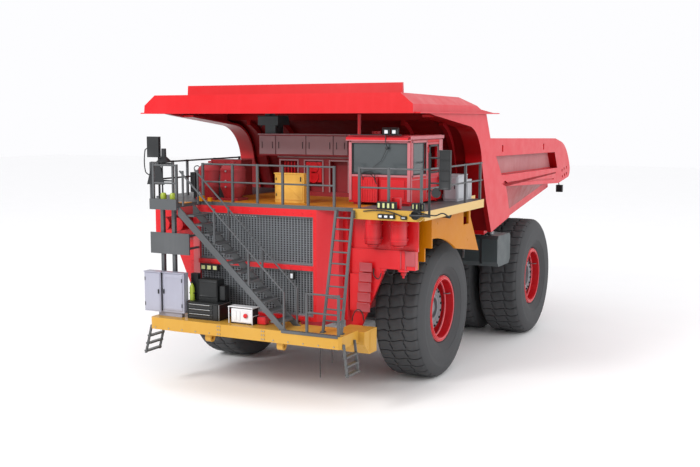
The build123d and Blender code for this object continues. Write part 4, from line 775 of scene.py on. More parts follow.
# %% Bumper trim
strip = [plate((1.12, -4.49, 1.842), (2.60, -4.40, 1.866), 0.004),
         plate((1.12, -4.496, 1.80), (2.60, -4.478, 1.866), 0.004)]
cleats = copies(plate((-0.02, -0.03, 0), (0.02, 0.03, 0.006), 0.002),
                [at(1.2 + 0.09 * i, -4.44, 1.866) for i in range(16)])
done(strip + [cleats], "bumper_tread_strip", grey_enamel)
rods = [bar([(2.0, -4.2, 1.56), (2.0, -4.2, 0.78)], 0.011), bar([(2.31, -4.2, 1.56), (2.31, -4.2, 1.16)], 0.011)]
done(rods, "bumper_marker_rods", black_enamel)
seams = [plate((x - 0.05, -4.484, 1.56), (x + 0.05, -4.476, 1.828), 0.003) for x in (-0.62, 0.62)]
done(seams, "bumper_seam_straps", yellow_enamel)
seam_bolts = [(x + dx, -4.484, z) for x in (-0.62, 0.62) for dx in (-0.03, 0.03) for z in (1.60, 1.70, 1.79)]
seam_bolts += bolt_row((-2.5, -4.478, 1.60), (-0.9, -4.478, 1.60), 5)
seam_bolts += bolt_row((0.9, -4.478, 1.60), (2.5, -4.478, 1.60), 5)
bolts(seam_bolts, FRONT, "bumper_bolts", radius=0.016)
side_plates = [plate((s * 2.835 - 0.006, -3.28, 1.30), (s * 2.835 + 0.006, -2.95, 1.76), 0.004) for s in (-1, 1)]
done(side_plates, "bumper_side_covers", yellow_enamel)
print("bumper trim ready")

# %% [markdown]
# On the bumper stand the electrical boxes: a pale cabinet with a flat door and a pressed one,
# a black battery chest with drawers, a white connector box in a tube guard, and a fire bottle.
# Doors are inset and set back in edit mode, as pressed steel is, with hinges and latches.

# %% Boxes on the bumper
cabinet_doors = [
    plate((-2.91, -4.342, 1.99), (-2.46, -4.328, 2.93), 0.008),
    panelled_plate((-2.40, -4.275, 2.0), (-1.82, -4.258, 2.91), FRONT, 0.075, 0.010),
    plate((-2.95, -4.35, 2.945), (-2.42, -4.09, 2.965), 0.004),
    plate((-2.46, -4.29, 2.945), (-1.76, -4.09, 2.965), 0.004),
]
done(cabinet_doors, "control_cabinet_doors", cabinet_enamel)
fittings = [plate((x, y - 0.03, z), (x + 0.025, y, z + 0.11), 0.004)
            for x, y in ((-2.50, -4.342), (-2.385, -4.275)) for z in (2.42,)]
fittings += [drum((x, y, z), (x, y, z + 0.09), 0.012, 8)
             for x, y in ((-2.905, -4.344), (-1.835, -4.277)) for z in (2.1, 2.73)]
fittings += [plate((-2.455, -4.30, 1.985), (-2.43, -4.262, 2.935), 0)]
done(fittings, "control_cabinet_latches", dark_steel)

drawers = [panelled_plate((-1.70, -4.214, z), (-0.98, -4.198, z + 0.10), FRONT, 0.02, 0.005, 0.003)
           for z in (1.88, 2.0, 2.12)]
drawers += [plate((-0.95, -4.212, 1.86), (-0.84, -4.198, 2.23), 0.004),
            plate((-1.745, -4.215, 2.245), (-0.805, -3.73, 2.262), 0.004),
            panelled_plate((-1.54, -3.972, 2.36), (-1.02, -3.958, 2.76), FRONT, 0.03, 0.006, 0.003),
            plate((-0.98, -3.90, 2.30), (-0.82, -3.70, 2.66), 0.01)]
done(drawers, "battery_box_drawers", black_enamel)
edges = [bar([(-1.66, -4.225, z), (-1.05, -4.225, z)], 0.009) for z in (1.97, 2.09, 2.21)]
edges += [bar([(-0.79, -4.21, 1.86), (-0.79, -4.21, 2.24), (-0.79, -3.74, 2.24)], 0.01)]
done(edges, "battery_box_pulls", zinc_steel)

connector = [panelled_plate((-0.43, -4.216, 1.87), (0.15, -4.198, 2.21), FRONT, 0.04, 0.01),
             plate((-0.52, -4.235, 2.232), (0.20, -3.94, 2.25), 0.004)]
connector += [plate((x, -4.222, 1.92), (x + 0.07, -4.206, 2.15), 0.004) for x in (-0.36, -0.25)]
done(connector, "connector_box_front", white_paint)
guard = [bar([(-0.47, -4.26, 1.85), (-0.47, -4.26, 2.26), (0.19, -4.26, 2.26), (0.19, -4.26, 1.85)], 0.012),
         bar([(0.19, -4.26, 2.05), (0.19, -3.95, 2.05)], 0.010)]
done(guard, "connector_box_guard", white_paint)
knob = [drum((-0.02, -4.205, 2.05), (-0.02, -4.25, 2.05), 0.055, 16, 0.008),
        plate((0.22, -4.10, 1.842), (0.46, -3.92, 2.03), 0.02)]
done(knob, "connector_box_switch", red_enamel)

bottle = turned([(2.27, 0.0), (2.27, 0.062), (2.58, 0.062), (2.65, 0.042), (2.67, 0.02), (2.71, 0.02), (2.71, 0.0)],
                (-1.70, -4.03, 0.0), UP, 20)
done(bottle, "fire_bottle", lime_paint)
shelf = [plate((-1.80, -3.94, 2.20), (-1.59, -3.80, 2.93), 0.008),
         plate((-1.79, -4.10, 2.248), (-1.59, -3.80, 2.272), 0.004),
         plate((-1.775, -4.06, 2.44), (-1.625, -3.94, 2.46), 0.003),
         plate((-1.735, -4.06, 2.70), (-1.665, -4.0, 2.73), 0.004)]
done(shelf, "fire_bottle_bracket", black_enamel)
print("bumper boxes ready")

# %% [markdown]
# A work lamp is a square pan with a rim and a lens set in it. One function makes a bank of
# them in one housing, and each bank is made at its own place.

# %% Lamps
def lamp_bank(low, high, count, name, lens, body="chassis", facing=-1):
    """A row of square lamps in one housing, facing along Y."""
    x0, y0, z0 = low
    x1, y1, z1 = high
    face_y = y0 if facing < 0 else y1
    depth = 0.012 * facing
    housing = [plate(low, high, 0.008)]
    step = (x1 - x0) / count
    lenses = []
    for i in range(count):
        a, b = x0 + step * i + 0.012, x0 + step * (i + 1) - 0.012
        ys = sorted((face_y, face_y + depth))
        rim = panelled_plate((a, ys[0], z0 + 0.012), (b, ys[1], z1 - 0.012), (0, facing, 0), 0.012, 0.006, 0.002)
        housing.append(rim)
        ly = sorted((face_y + depth * 0.2, face_y + depth * 0.8))
        lenses.append(plate((a + 0.02, ly[0], z0 + 0.032), (b - 0.02, ly[1], z1 - 0.032), 0.004))
    done(housing, name, black_enamel, body)
    return done(lenses, name + "_lenses", lens, body)


lamp_bank((3.20, -3.72, 4.715), (3.67, -3.62, 4.885), 4, "deck_lamps_middle", warm_lens)
lamp_bank((4.30, -3.73, 4.72), (4.36, -3.63, 4.885), 1, "deck_lamp_left_corner", warm_lens)
lamp_bank((4.06, -3.73, 4.72), (4.24, -3.63, 4.885), 2, "deck_lamps_left", warm_lens)
lamp_bank((3.24, -3.755, 4.50), (3.66, -3.70, 4.61), 3, "beam_lamps", lamp_lens)
lamp_bank((3.80, -3.745, 4.50), (3.95, -3.70, 4.58), 1, "beam_marker", lamp_lens)
lamp_bank((-1.74, -3.60, 2.965), (-1.22, -3.52, 3.125), 3, "grille_lamps", warm_lens)
frame_stay = [bar([(x, -3.53, 3.04), (x, -3.44, 3.04)], 0.012) for x in (-1.65, -1.30)]
done(frame_stay, "grille_lamp_stays", black_enamel)
lamp_bank((0.78, -3.50, 2.89), (0.91, -3.43, 3.07), 1, "grille_side_lamp", lamp_lens)
lamp_bank((2.91, -2.74, 6.37), (3.06, -2.68, 6.51), 1, "cab_roof_lamp_right", lamp_lens)
lamp_bank((3.11, -2.74, 6.37), (3.26, -2.68, 6.51), 1, "cab_roof_lamp_left", lamp_lens)

barrel_lamps = [turned([(4.71, 0.0), (4.71, 0.07), (4.73, 0.075), (4.90, 0.075), (4.94, 0.05), (4.94, 0.0)],
                       (x, -4.30, 0.0), UP, 16) for x in (-2.31, -2.03)]
done(barrel_lamps, "landing_lamps", lime_paint)
edge_tabs = [plate((-1.95, -4.32, 4.70), (-1.66, -4.02, 4.716), 0.003),
             plate((-1.78, -3.62, 4.70), (-1.66, -3.46, 4.83), 0.006),
             plate((-1.50, -3.60, 4.70), (-1.40, -3.52, 4.80), 0.006)]
done(edge_tabs, "stair_head_plates", deck_yellow)
hood = [drum((4.20, -3.70, 4.64), (4.20, -3.86, 4.62), 0.105, 20, 0.012, rims=((0.014, -0.02),)),
        drum((4.14, -2.0, 4.52), (4.33, -2.0, 4.50), 0.11, 20, 0.012, rims=((0.014, -0.02),)),
        plate((4.12, -2.06, 4.53), (4.20, -1.94, 4.60), 0.008)]
done(hood, "corner_lamps", black_enamel)
print("lamps ready")

# %% [markdown]
# The left shroud carries the pieces that stand out most from in front: a red box with an end
# panel, two drums above it, a stack of five pressed cover plates and small fittings with
# their hoses under the box. Plates are bevelled so that their edges catch the light.

# %% Left shroud fittings
rose_enamel = enamel("weathered rose red enamel on sheet", "#A84248", "#B0545A", "#96544E", gloss=0.42, coat=0.05)
# Painted reflection: the mauve grey stands for the white surroundings reflected in red doors that are in shade.
hazy_reflection_enamel = enamel("bleached mauve enamel on cabinet sheet", "#A47C80", "#AC888A", "#947470", gloss=0.45, coat=0.05)
steps = []
for i in range(5):
    z, lean = 2.13 + 0.245 * i, 0.018 * i
    steps.append(panelled_plate((2.28 + lean, -2.865, z), (2.62 + lean * 0.8, -2.835, z + 0.215), FRONT,
                                0.02, 0.006, 0.004))
done(steps, "shroud_cover_plates", rose_enamel)
panel = [plate((3.38, -2.775, 3.22), (3.40, -2.758, 3.64), 0.003),
         plate((3.53, -2.80, 3.30), (3.755, -2.758, 3.655), 0.006),
         plate((3.50, -2.775, 3.18), (3.535, -2.758, 3.66), 0.004)]
done(panel, "shroud_box_panels", rose_enamel)
reservoirs = [drum((x, -2.92, 3.80), (x, -2.92, 4.42), 0.20, 24, 0.03, rims=((0.03, 0.02), (0.08, 0.03)))
              for x in (2.74, 3.40)]
reservoirs += [drum((x, -2.92, 3.74), (x, -2.92, 3.80), 0.13, 20, 0.02) for x in (2.74, 3.40)]
reservoirs += [turned([(z, 0.202), (z, 0.214), (z + 0.03, 0.214), (z + 0.03, 0.202), (z, 0.202)],
                      (x, -2.92, 0.0), UP, 24) for x in (2.74, 3.40) for z in (3.9, 4.25)]
reservoirs += [plate((x - 0.16, -2.78, z), (x + 0.16, -2.69, z + 0.05), 0.006)
               for x in (2.74, 3.40) for z in (3.9, 4.25)]
done(reservoirs, "shroud_reservoirs", red_enamel)
nozzle = [turned([(3.20, 0.0), (3.20, 0.13), (3.16, 0.13), (3.13, 0.07), (3.07, 0.06), (3.05, 0.03), (3.00, 0.025),
                  (3.00, 0.0)], (3.44, -2.72, 0.0), UP, 16),
          turned([(3.20, 0.0), (3.20, 0.08), (3.15, 0.08), (3.13, 0.04), (3.08, 0.035), (3.08, 0.0)],
                 (2.92, -2.72, 0.0), UP, 16)]
done(nozzle, "shroud_drain_fittings", red_enamel)
hoses = [pipe([(2.70, -2.79, 3.19), (2.72, -2.84, 3.05), (2.84, -2.84, 2.96), (2.90, -2.80, 3.10)], 0.014),
         pipe([(3.02, -2.74, 3.19), (3.06, -2.80, 3.10), (3.18, -2.80, 3.08), (3.22, -2.74, 3.19)], 0.010),
         pipe([(2.20, -2.95, 1.90), (2.26, -3.02, 2.05), (2.36, -3.0, 2.20), (2.44, -2.90, 2.12),
               (2.46, -2.85, 1.92)], 0.014)]
done(hoses, "shroud_hoses", hose_rubber)
brace = [plate((-3.0, -2.775, 3.60), (-2.3, -2.758, 3.64), 0.004)]
brace += [panelled_plate((-3.66, -2.775, 3.24), (-2.75, -2.758, 3.60), FRONT, 0.04, 0.006)]
done(brace, "right_shroud_panel", rose_enamel)
print("shroud fittings ready")

# %% [markdown]
# The band of cabinets across the deck has doors with narrow seams and recessed handles. Below
# it, the bays are framed, and the first bay holds blower boxes. Doors stand 18 mm proud, so
# the seams between them are real shadow lines.

# %% Cabinet band
BAND_Y, BAY_Y = -0.9, -0.7
seam_x = (-1.64, -1.12, -0.187, 0.63, 1.06, 1.17)
doors = []
for a, b in zip(seam_x, seam_x[1:]):
    if b - a > 0.2:
        doors.append(panelled_plate((a + 0.012, BAND_Y - 0.018, 5.80), (b - 0.012, BAND_Y - 0.001, 6.29), FRONT,
                                    0.02, 0.004, 0.003))
doors.append(plate((-1.67, BAND_Y - 0.03, 6.315), (1.20, BAND_Y + 0.02, 6.345), 0.004))
doors.append(plate((-1.16, BAY_Y - 0.05, 5.70), (1.19, BAY_Y, 5.745), 0.004))
for x in (-1.08, -0.32, 0.44):
    doors += [plate((x - 0.04, BAY_Y - 0.03, 4.80), (x, BAY_Y - 0.001, 5.66), 0.004),
              plate((x + 0.52, BAY_Y - 0.03, 4.80), (x + 0.56, BAY_Y - 0.001, 5.66), 0.004),
              plate((x, BAY_Y - 0.03, 5.62), (x + 0.52, BAY_Y - 0.001, 5.66), 0.004)]
# The doors' mauve grey is painted reflection, not a paint colour.
done(doors, "cabinet_band_doors", hazy_reflection_enamel)
# Painted shade: the cabinets under the canopy get a deeper red than the red enamel.
frame["nodes"]["electrical_cabinets"].data.materials[0] = enamel(
    "deep red enamel with painted shade on cabinet steel", "#8E1A20", "#9A3036", "#7A403C", gloss=0.4, coat=0.05)
pulls = []
for a, b in zip(seam_x, seam_x[1:]):
    if b - a > 0.4:
        pulls += [plate((x - 0.008, BAND_Y - 0.028, 5.95), (x + 0.008, BAND_Y - 0.018, 6.13), 0.002)
                  for x in (a + 0.10, b - 0.10)]
pulls += [plate((a - 0.006, BAND_Y - 0.004, 5.79), (a + 0.006, BAND_Y + 0.001, 6.30), 0) for a in seam_x[1:-1]]
done(pulls, "cabinet_band_pulls", black_enamel)
blowers = [plate((-0.30, -0.72, 5.05), (0.18, -0.52, 5.60), 0.01)]
blowers += [turned([(-0.74, 0.05), (-0.74, 0.15), (-0.72, 0.16), (-0.70, 0.16)], (-0.06, 0.0, z), REAR, 20)
            for z in (5.19, 5.45)]
blowers += [plate((-1.0 + 0.1 * i, -0.66, 4.85), (-0.97 + 0.1 * i, -0.51, 5.6), 0.004) for i in range(4)]
done(blowers, "cabinet_bay_blowers", red_enamel)
cowl = [plate((-1.50, -0.83, 6.60), (-1.18, -0.82, 6.92), 0.003),
        plate((-1.70, -0.905, 6.80), (-1.03, -0.89, 6.83), 0.003)]
strap = [bar([(-1.62, -0.86, 6.52), (-1.28, -0.86, 6.88)], 0.02),
         bar([(-1.10, -0.86, 6.52), (-1.20, -0.86, 6.60)], 0.02)]
done(cowl[1:] + strap, "cabinet_duct_straps", black_enamel)
done(cowl[0], "cabinet_duct_flange", tank_enamel)
print("cabinet band ready")

# %% [markdown]
# The yellow cabinet has one folded door with hinges and a slot handle. The fold across its
# lower corner stiffens the sheet. The air cleaners get clamp bands, and a rubber elbow rises
# between them and bends back.

# %% Yellow cabinet, air cleaners and the other deck boxes
yellow_door = [panelled_plate((0.07, -2.915, 4.76), (0.83, -2.90, 5.38), FRONT, 0.012, 0.003, 0.002),
               plate((0.02, -2.92, 5.395), (0.88, -2.74, 5.42), 0.004)]
fold = bar([(0.42, -2.914, 5.08), (0.74, -2.914, 4.82)], 0.006)
done(yellow_door + [fold], "yellow_cabinet_door", pale_yellow)
handle = [plate((0.765, -2.93, 5.22), (0.79, -2.914, 5.33), 0.003)]
handle += [drum((0.085, -2.918, z), (0.085, -2.918, z + 0.06), 0.012, 8) for z in (4.85, 5.24)]
done(handle, "yellow_cabinet_handle", dark_steel)

bands, clamps = [], []
for x, r in ((-1.935, 0.335), (-1.255, 0.325)):
    middle = (x, -2.8, 0.0)
    for z in (5.03, 5.18, 5.42):
        bands.append(turned([(z, r - 0.002), (z, r + 0.010), (z + 0.028, r + 0.010), (z + 0.028, r - 0.002),
                             (z, r - 0.002)], middle, UP, 36))
    bands.append(turned([(5.62, r * 0.2), (5.66, r * 0.2), (5.67, r * 0.15), (5.67, 0.0)], middle, UP, 24))
    clamps += [plate((x - 0.02, -2.8 - r - 0.03, z), (x + 0.02, -2.8 - r + 0.005, z + 0.04), 0.004)
               for z in (5.025, 5.175, 5.415)]
done(bands, "air_cleaner_bands", shaded_filter_enamel)
done(clamps, "air_cleaner_clamps", zinc_steel)
elbow = pipe([(-1.58, -2.8, 4.74), (-1.58, -2.8, 5.30), (-1.58, -2.45, 5.45), (-1.58, -2.0, 5.30)], 0.09, 16)
done(elbow, "air_cleaner_elbow", hose_rubber)

louvres = copies(plate((-0.21, -0.012, -0.01), (0.21, 0.012, 0.01), 0.002),
                 [at(x, -1.512, 4.85 + 0.05 * i) for x in (-2.58, -2.09) for i in range(14)])
grid_frame = [panelled_plate((x - 0.235, -1.515, 4.80), (x + 0.235, -1.501, 5.58), FRONT, 0.02, 0.008, 0.002)
              for x in (-2.58, -2.09)]
side_louvres = copies(plate((-0.012, -0.22, -0.01), (0.012, 0.22, 0.01), 0.002),
                      [at(-2.832, -1.225, 4.85 + 0.05 * i) for i in range(14)])
done([louvres, side_louvres] + grid_frame, "retarder_grid_louvres", shaded_filter_enamel)

locker_doors = [panelled_plate((3.67, -0.706, 4.74), (3.98, -0.689, 5.29), FRONT, 0.02, 0.005, 0.003),
                panelled_plate((4.009, -0.66, 4.74), (4.024, -0.02, 5.29), LEFT, 0.02, 0.005, 0.003),
                panelled_plate((4.009, 0.02, 4.74), (4.024, 0.31, 5.16), LEFT, 0.02, 0.005, 0.003),
                plate((3.63, -0.71, 5.325), (4.03, 0.0, 5.345), 0.004)]
done(locker_doors, "deck_locker_doors", pale_grey_enamel)
locker_fittings = [plate((3.93, -0.72, 5.0), (3.95, -0.70, 5.09), 0.003),
                   plate((4.02, -0.10, 5.0), (4.036, -0.08, 5.09), 0.003)]
done(locker_fittings, "deck_locker_latches", dark_steel)
relay = [panelled_plate((-2.51, -2.895, 4.89), (-2.36, -2.88, 5.35), FRONT, 0.015, 0.005, 0.003),
         pipe([(-2.44, -2.78, 5.37), (-2.44, -2.80, 5.50), (-2.30, -2.80, 5.52), (-2.28, -2.80, 5.36)], 0.012)]
done(relay, "relay_box_door", black_enamel)
print("deck boxes ready")

# %% [markdown]
# The cab's windows sit in black rubber seals, with a pale pink strip round them, a painted sheen,
# as are the pale panels on the cab's left side. A wiper hangs from the top of the windscreen,
# because there the arm stays clear of dirt.
# The roof carries a rail for its two lamps, and each door a trimmed window and a pull handle.

# %% Cab windows, wiper, ribbed box and roof fittings
CAB_LEFT, CAB_RIGHT = 3.56, 1.94      # outer faces of the cab


def window_seal(low, high, facing, width=0.035):
    """A frame of four strips round a pane that faces -Y or +X or -X."""
    (x0, y0, z0), (x1, y1, z1) = low, high
    if facing == "front":
        strips = [((x0, y0, z0), (x1, y1, z0 + width)), ((x0, y0, z1 - width), (x1, y1, z1)),
                  ((x0, y0, z0), (x0 + width, y1, z1)), ((x1 - width, y0, z0), (x1, y1, z1))]
    else:
        strips = [((x0, y0, z0), (x1, y1, z0 + width)), ((x0, y0, z1 - width), (x1, y1, z1)),
                  ((x0, y0, z0), (x1, y0 + width, z1)), ((x0, y1 - width, z0), (x1, y1, z1))]
    return joined([plate(a, b, 0.003) for a, b in strips])


# Painted sheen: the pale pink of these trims and side panels stands for light on the red cab sides.
pink_sheen_trim = enamel("pale pink enamel with painted sheen on cab trims", "#B8686E", "#C47C82", "#A07068",
                   gloss=0.45, coat=0.05)
seals = [window_seal((2.01, -2.612, 5.41), (3.49, -2.575, 6.19), "front", 0.03),
         window_seal((3.548, -2.49, 5.41), (3.572, -1.68, 6.19), "side", 0.03),
         window_seal((1.928, -2.49, 5.41), (1.952, -1.68, 6.19), "side", 0.03)]
done(seals, "cab_window_seals", hose_rubber)
trims = [window_seal((1.965, -2.618, 5.37), (3.535, -2.60, 6.225), "front", 0.05),
         plate((1.945, -2.625, 4.80), (2.02, -2.602, 6.20), 0.006),
         plate((3.475, -2.625, 4.80), (3.555, -2.602, 6.20), 0.006),
         window_seal((3.561, -2.54, 5.37), (3.575, -1.63, 6.225), "side", 0.045)]
done(trims, "cab_window_trims", pink_sheen_trim)
wiper = [bar([(2.955, -2.705, 6.37), (2.955, -2.705, 6.22), (2.955, -2.645, 6.08)], 0.012),
         drum((2.955, -2.665, 6.06), (2.955, -2.615, 6.06), 0.038, 12, 0.006),
         bar([(2.02, -2.70, 6.365), (3.36, -2.70, 6.365)], 0.012),
         plate((2.05, -2.632, 5.445), (2.78, -2.614, 5.462), 0.003),
         bar([(2.955, -2.628, 6.05), (2.80, -2.626, 5.75), (2.42, -2.622, 5.46)], 0.006)]
done(wiper, "windscreen_wiper", moulded_plastic)
ribbed = [plate((2.22, -2.672, 4.76), (2.72, -2.625, 5.36), 0.008)]
ribbed += [plate((2.245 + 0.065 * i, -2.684, 4.79), (2.275 + 0.065 * i, -2.671, 5.33), 0.003) for i in range(7)]
ribbed += [plate((2.80, -2.615, 4.82), (3.40, -2.603, 5.30), 0.004),
           plate((3.44, -3.46, 4.70), (3.66, -3.34, 4.96), 0.01)]
done(ribbed, "cab_front_ribbed_box", red_enamel)
loops = [pipe([(2.36, -2.70, 5.30), (2.36, -2.72, 5.46), (2.66, -2.72, 5.46), (2.66, -2.70, 5.30)], 0.012),
         pipe([(2.24, -2.69, 5.34), (2.30, -2.73, 5.44), (2.60, -2.73, 5.42), (2.72, -2.69, 5.20)], 0.010)]
done(loops, "cab_front_hoses", hose_rubber)
seam_lines = [plate((3.556, -2.52, 5.30), (3.566, -0.66, 5.32), 0.002),
              plate((3.556, -1.66, 4.80), (3.568, -1.63, 6.22), 0.003),
              plate((3.556, -0.80, 4.80), (3.568, -0.77, 6.22), 0.003)]
seam_lines += [plate((1.932, -2.52, 5.30), (1.942, -0.66, 5.32), 0.002)]
done(seam_lines, "cab_side_seams", pink_sheen_trim)
wall_panels = [plate((3.561, y0, z0), (3.569, y1, z1), 0.002) for y0, y1, z0, z1 in (
    (-2.595, -2.54, 4.80, 6.235), (-1.63, -1.595, 5.33, 6.235), (-0.84, -0.605, 5.33, 6.235),
    (-2.54, -1.63, 6.19, 6.235))]
done(wall_panels, "cab_side_panels", pink_sheen_trim)
frame["nodes"]["cab_shell"].data.materials[0] = enamel(
    "deep red enamel on the cab", "#C00A14", "#C81A22", "#98403A", gloss=0.36, coat=0.1, shine=0.2)
visor_edge = [plate((1.90, -2.705, 6.225), (3.60, -2.69, 6.25), 0.003),
              plate((3.585, -2.68, 6.26), (3.60, -0.58, 6.34), 0.004)]
lamp_rail = [bar([(2.88, -2.71, 6.355), (2.88, -2.71, 6.53), (3.29, -2.71, 6.53), (3.29, -2.71, 6.355)], 0.010)]
done(visor_edge, "cab_roof_edges", pink_sheen_trim)
done(lamp_rail, "cab_roof_lamp_rail", black_enamel)
for side, sign in (("left", 1), ("right", -1)):
    face_x = (CAB_LEFT if sign > 0 else CAB_RIGHT) + 0.024 * sign
    trim = [window_seal((face_x - 0.006, -1.52, 5.42), (face_x + 0.006, -0.91, 6.12), "side", 0.05)]
    grip_x = face_x + 0.05 * sign
    handle = [pipe([(face_x, -0.92, 5.02), (grip_x, -0.92, 5.06), (grip_x, -0.92, 5.24), (face_x, -0.92, 5.28)],
                   0.010)]
    done(trim + handle, f"{side}_door_fittings", black_enamel, f"{side}_door")
print("cab ready")

# %% [markdown]
# The driver's seat rests on a low pedestal that holds its spring. The cushion and backrest are
# foam under woven cloth, so they bulge between their welted edges, and the backrest is waisted
# where it meets the cushion.

# %% Driver's seat
pads = []
for centre, size, turn in (((2.87, -1.36, 5.145), (0.50, 0.54, 0.13), 0.0),
                           ((2.87, -1.055, 5.59), (0.48, 0.11, 0.74), radians(-10)),
                           ((2.62, -1.36, 5.175), (0.07, 0.46, 0.10), 0.0),
                           ((3.12, -1.36, 5.175), (0.07, 0.46, 0.10), 0.0),
                           ((2.87, -0.975, 5.935), (0.28, 0.09, 0.13), radians(-10))):
    clear_selection()
    bpy.ops.mesh.primitive_cube_add(size=1.0, location=(0, 0, 0))
    pad = bpy.context.object
    bpy.ops.object.mode_set(mode="EDIT")
    bpy.ops.mesh.select_all(action="SELECT")
    bpy.ops.mesh.subdivide(number_cuts=9)
    bpy.ops.transform.tosphere(value=0.35, center_override=(0, 0, 0))
    object_mode()
    pad.scale = [length * 0.92 for length in size]
    bpy.ops.object.transform_apply(scale=True)
    pad.rotation_euler = (turn, 0, 0)
    pad.location = centre
    bpy.ops.object.transform_apply(location=True, rotation=True)
    pads.append(pad)
seat_cushions = joined(pads)
done(seat_cushions, "seat_cushions", seat_cloth, smooth=60)
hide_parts("driver_seat")
frame_bars = [plate((2.75, -1.50, 4.822), (2.99, -1.22, 5.07), 0.02),
              plate((2.62, -1.62, 5.05), (3.12, -1.10, 5.078), 0.01),
              plate((3.02, -1.30, 5.03), (3.06, -1.02, 5.075), 0.006),
              bar([(2.70, -1.10, 5.06), (2.70, -1.02, 5.30), (2.70, -0.94, 5.80)], 0.012),
              bar([(3.04, -1.10, 5.06), (3.04, -1.02, 5.30), (3.04, -0.94, 5.80)], 0.012)]
done(frame_bars, "seat_pedestal", moulded_plastic)
print("seat ready")

# %% [markdown]
# Mirrors stand out on both sides on tube arms. Each glass is set in a shallow pan with a
# folded rim, and a small wide-angle mirror hangs below the left one. The right landing has
# its own lamps, a funnel guard and a hooded marker.

# %% Mirrors, landing fittings and beam hoses
def cut_plate(outline, near, far, axis="X"):
    """A flat plate cut to an outline, between two places along the X or the Y axis."""
    mesh = bpy.data.meshes.new("cut plate")
    corners = [(near, a, z) if axis == "X" else (a, near, z) for a, z in outline]
    mesh.from_pydata(corners, [], [tuple(range(len(outline)))])
    piece = new_piece("cut plate", mesh)
    bpy.ops.object.mode_set(mode="EDIT")
    bpy.ops.mesh.select_all(action="SELECT")
    thickness = (far - near, 0, 0) if axis == "X" else (0, far - near, 0)
    bpy.ops.mesh.extrude_region_move(TRANSFORM_OT_translate={"value": thickness})
    bpy.ops.mesh.select_all(action="SELECT")
    bpy.ops.mesh.normals_make_consistent(inside=False)
    object_mode()
    return piece


glasses = [plate((4.82, -3.836, 5.25), (5.03, -3.830, 6.04), 0.004)]
rims_of_mirrors = [panelled_plate((4.795, -3.94, 5.215), (5.049, -3.925, 6.075), FRONT, 0.02, 0.006, 0.003)]
rims_of_mirrors += [plate((4.80, -3.95, z), (5.045, -3.938, z + 0.02), 0.004) for z in (5.40, 5.62, 5.84)]
rims_of_mirrors += [turned([(-3.935, 0.0), (-3.935, 0.10), (-3.90, 0.11), (-3.86, 0.06), (-3.86, 0.0)],
                           (4.72, 0.0, 5.14), REAR, 20),
                    bar([(4.56, -3.90, 5.20), (4.72, -3.90, 5.14)], 0.014)]
rims_of_mirrors += [pipe([(-3.15, -3.80, 6.01), (-3.24, -3.80, 5.95), (-3.24, -3.80, 5.42),
                          (-3.10, -3.76, 5.30)], 0.014)]
rims_of_mirrors += [panelled_plate((-3.145, -3.845, 5.785), (-2.785, -3.83, 6.295), FRONT, 0.02, 0.006, 0.003)]
done(rims_of_mirrors, "mirror_frames", black_enamel)
glasses.append(plate((-3.12, -3.748, 5.81), (-2.81, -3.742, 6.27), 0.004))
mirror_glass = plain_finish("silvered mirror glass", "#A8B0B6", "#B4BCC0", 0.06, metallic=1.0, bump=0.0)
done(glasses, "mirror_glasses", mirror_glass)
hood = [cut_plate([(-3.22, 5.09), (-3.08, 5.56), (-2.81, 5.56), (-2.70, 5.09)], -3.758, -3.744, "Y"),
        bar([(-3.22, -3.75, 5.09), (-3.08, -3.75, 5.56), (-2.81, -3.75, 5.56), (-2.70, -3.75, 5.09)], 0.014),
        turned([(5.66, 0.19), (5.68, 0.19), (5.80, 0.065), (6.0, 0.06), (6.0, 0.05), (5.80, 0.05),
                (5.66, 0.18), (5.66, 0.19)],
               (-2.73, -3.70, 0.0), UP, 20),
        bar([(-2.79, -3.70, 4.70), (-2.79, -3.70, 5.72)], 0.022)]
done(hood, "landing_post_fittings", dark_steel)
beam_hose = [pipe([(2.87, -3.725, 4.65), (3.18, -3.74, 4.685), (3.50, -3.74, 4.672), (3.82, -3.725, 4.58)], 0.014),
             pipe([(4.30, -3.72, 4.66), (4.62, -3.70, 4.62), (4.80, -3.70, 4.68), (4.96, -3.72, 4.60)], 0.016),
             plate((4.10, -3.76, 4.58), (4.27, -3.70, 4.70), 0.01)]
done(beam_hose, "front_beam_hoses", hose_rubber)
print("mirrors and beam ready")

# %% [markdown]
# The tanks hang in steel straps and each has a filler with a cap, a level strip and a drain.

# %% Tank straps, caps and drains
straps, caps = [], []
for sign in (1, -1):
    for x in (2.05, 3.25):
        a, b = sorted((sign * x, sign * (x + 0.07)))
        straps += [plate((a, 3.225, 2.56), (b, 3.239, 3.30), 0.003), plate((a, 4.441, 2.56), (b, 4.455, 3.30), 0.003),
                   plate((a, 3.32, 3.381), (b, 4.36, 3.394), 0.003)]
    caps += [drum((sign * 3.45, 3.62, 3.38), (sign * 3.45, 3.62, 3.44), 0.09, 20, 0.01),
             drum((sign * 3.45, 3.62, 3.44), (sign * 3.45, 3.62, 3.475), 0.105, 12, 0.01),
             plate((sign * 2.75 - 0.03, 3.218, 2.70), (sign * 2.75 + 0.03, 3.24, 3.20), 0.004),
             drum((sign * 2.4, 3.24, 2.62), (sign * 2.4, 3.19, 2.62), 0.03, 12, 0.004)]
done(straps, "tank_straps", dark_steel)
done(caps, "tank_caps", zinc_steel)
print("tanks ready")

# %% [markdown]
# The dump body is welded from ribbed plate. A thin skin lines each side pocket, painted grey pink
# as a painted reflection, and a ledge runs under the rub rail, painted deep red as painted shade.
# Lamp boxes hang from the tail corners. All of them ride the body, so they tip with it.

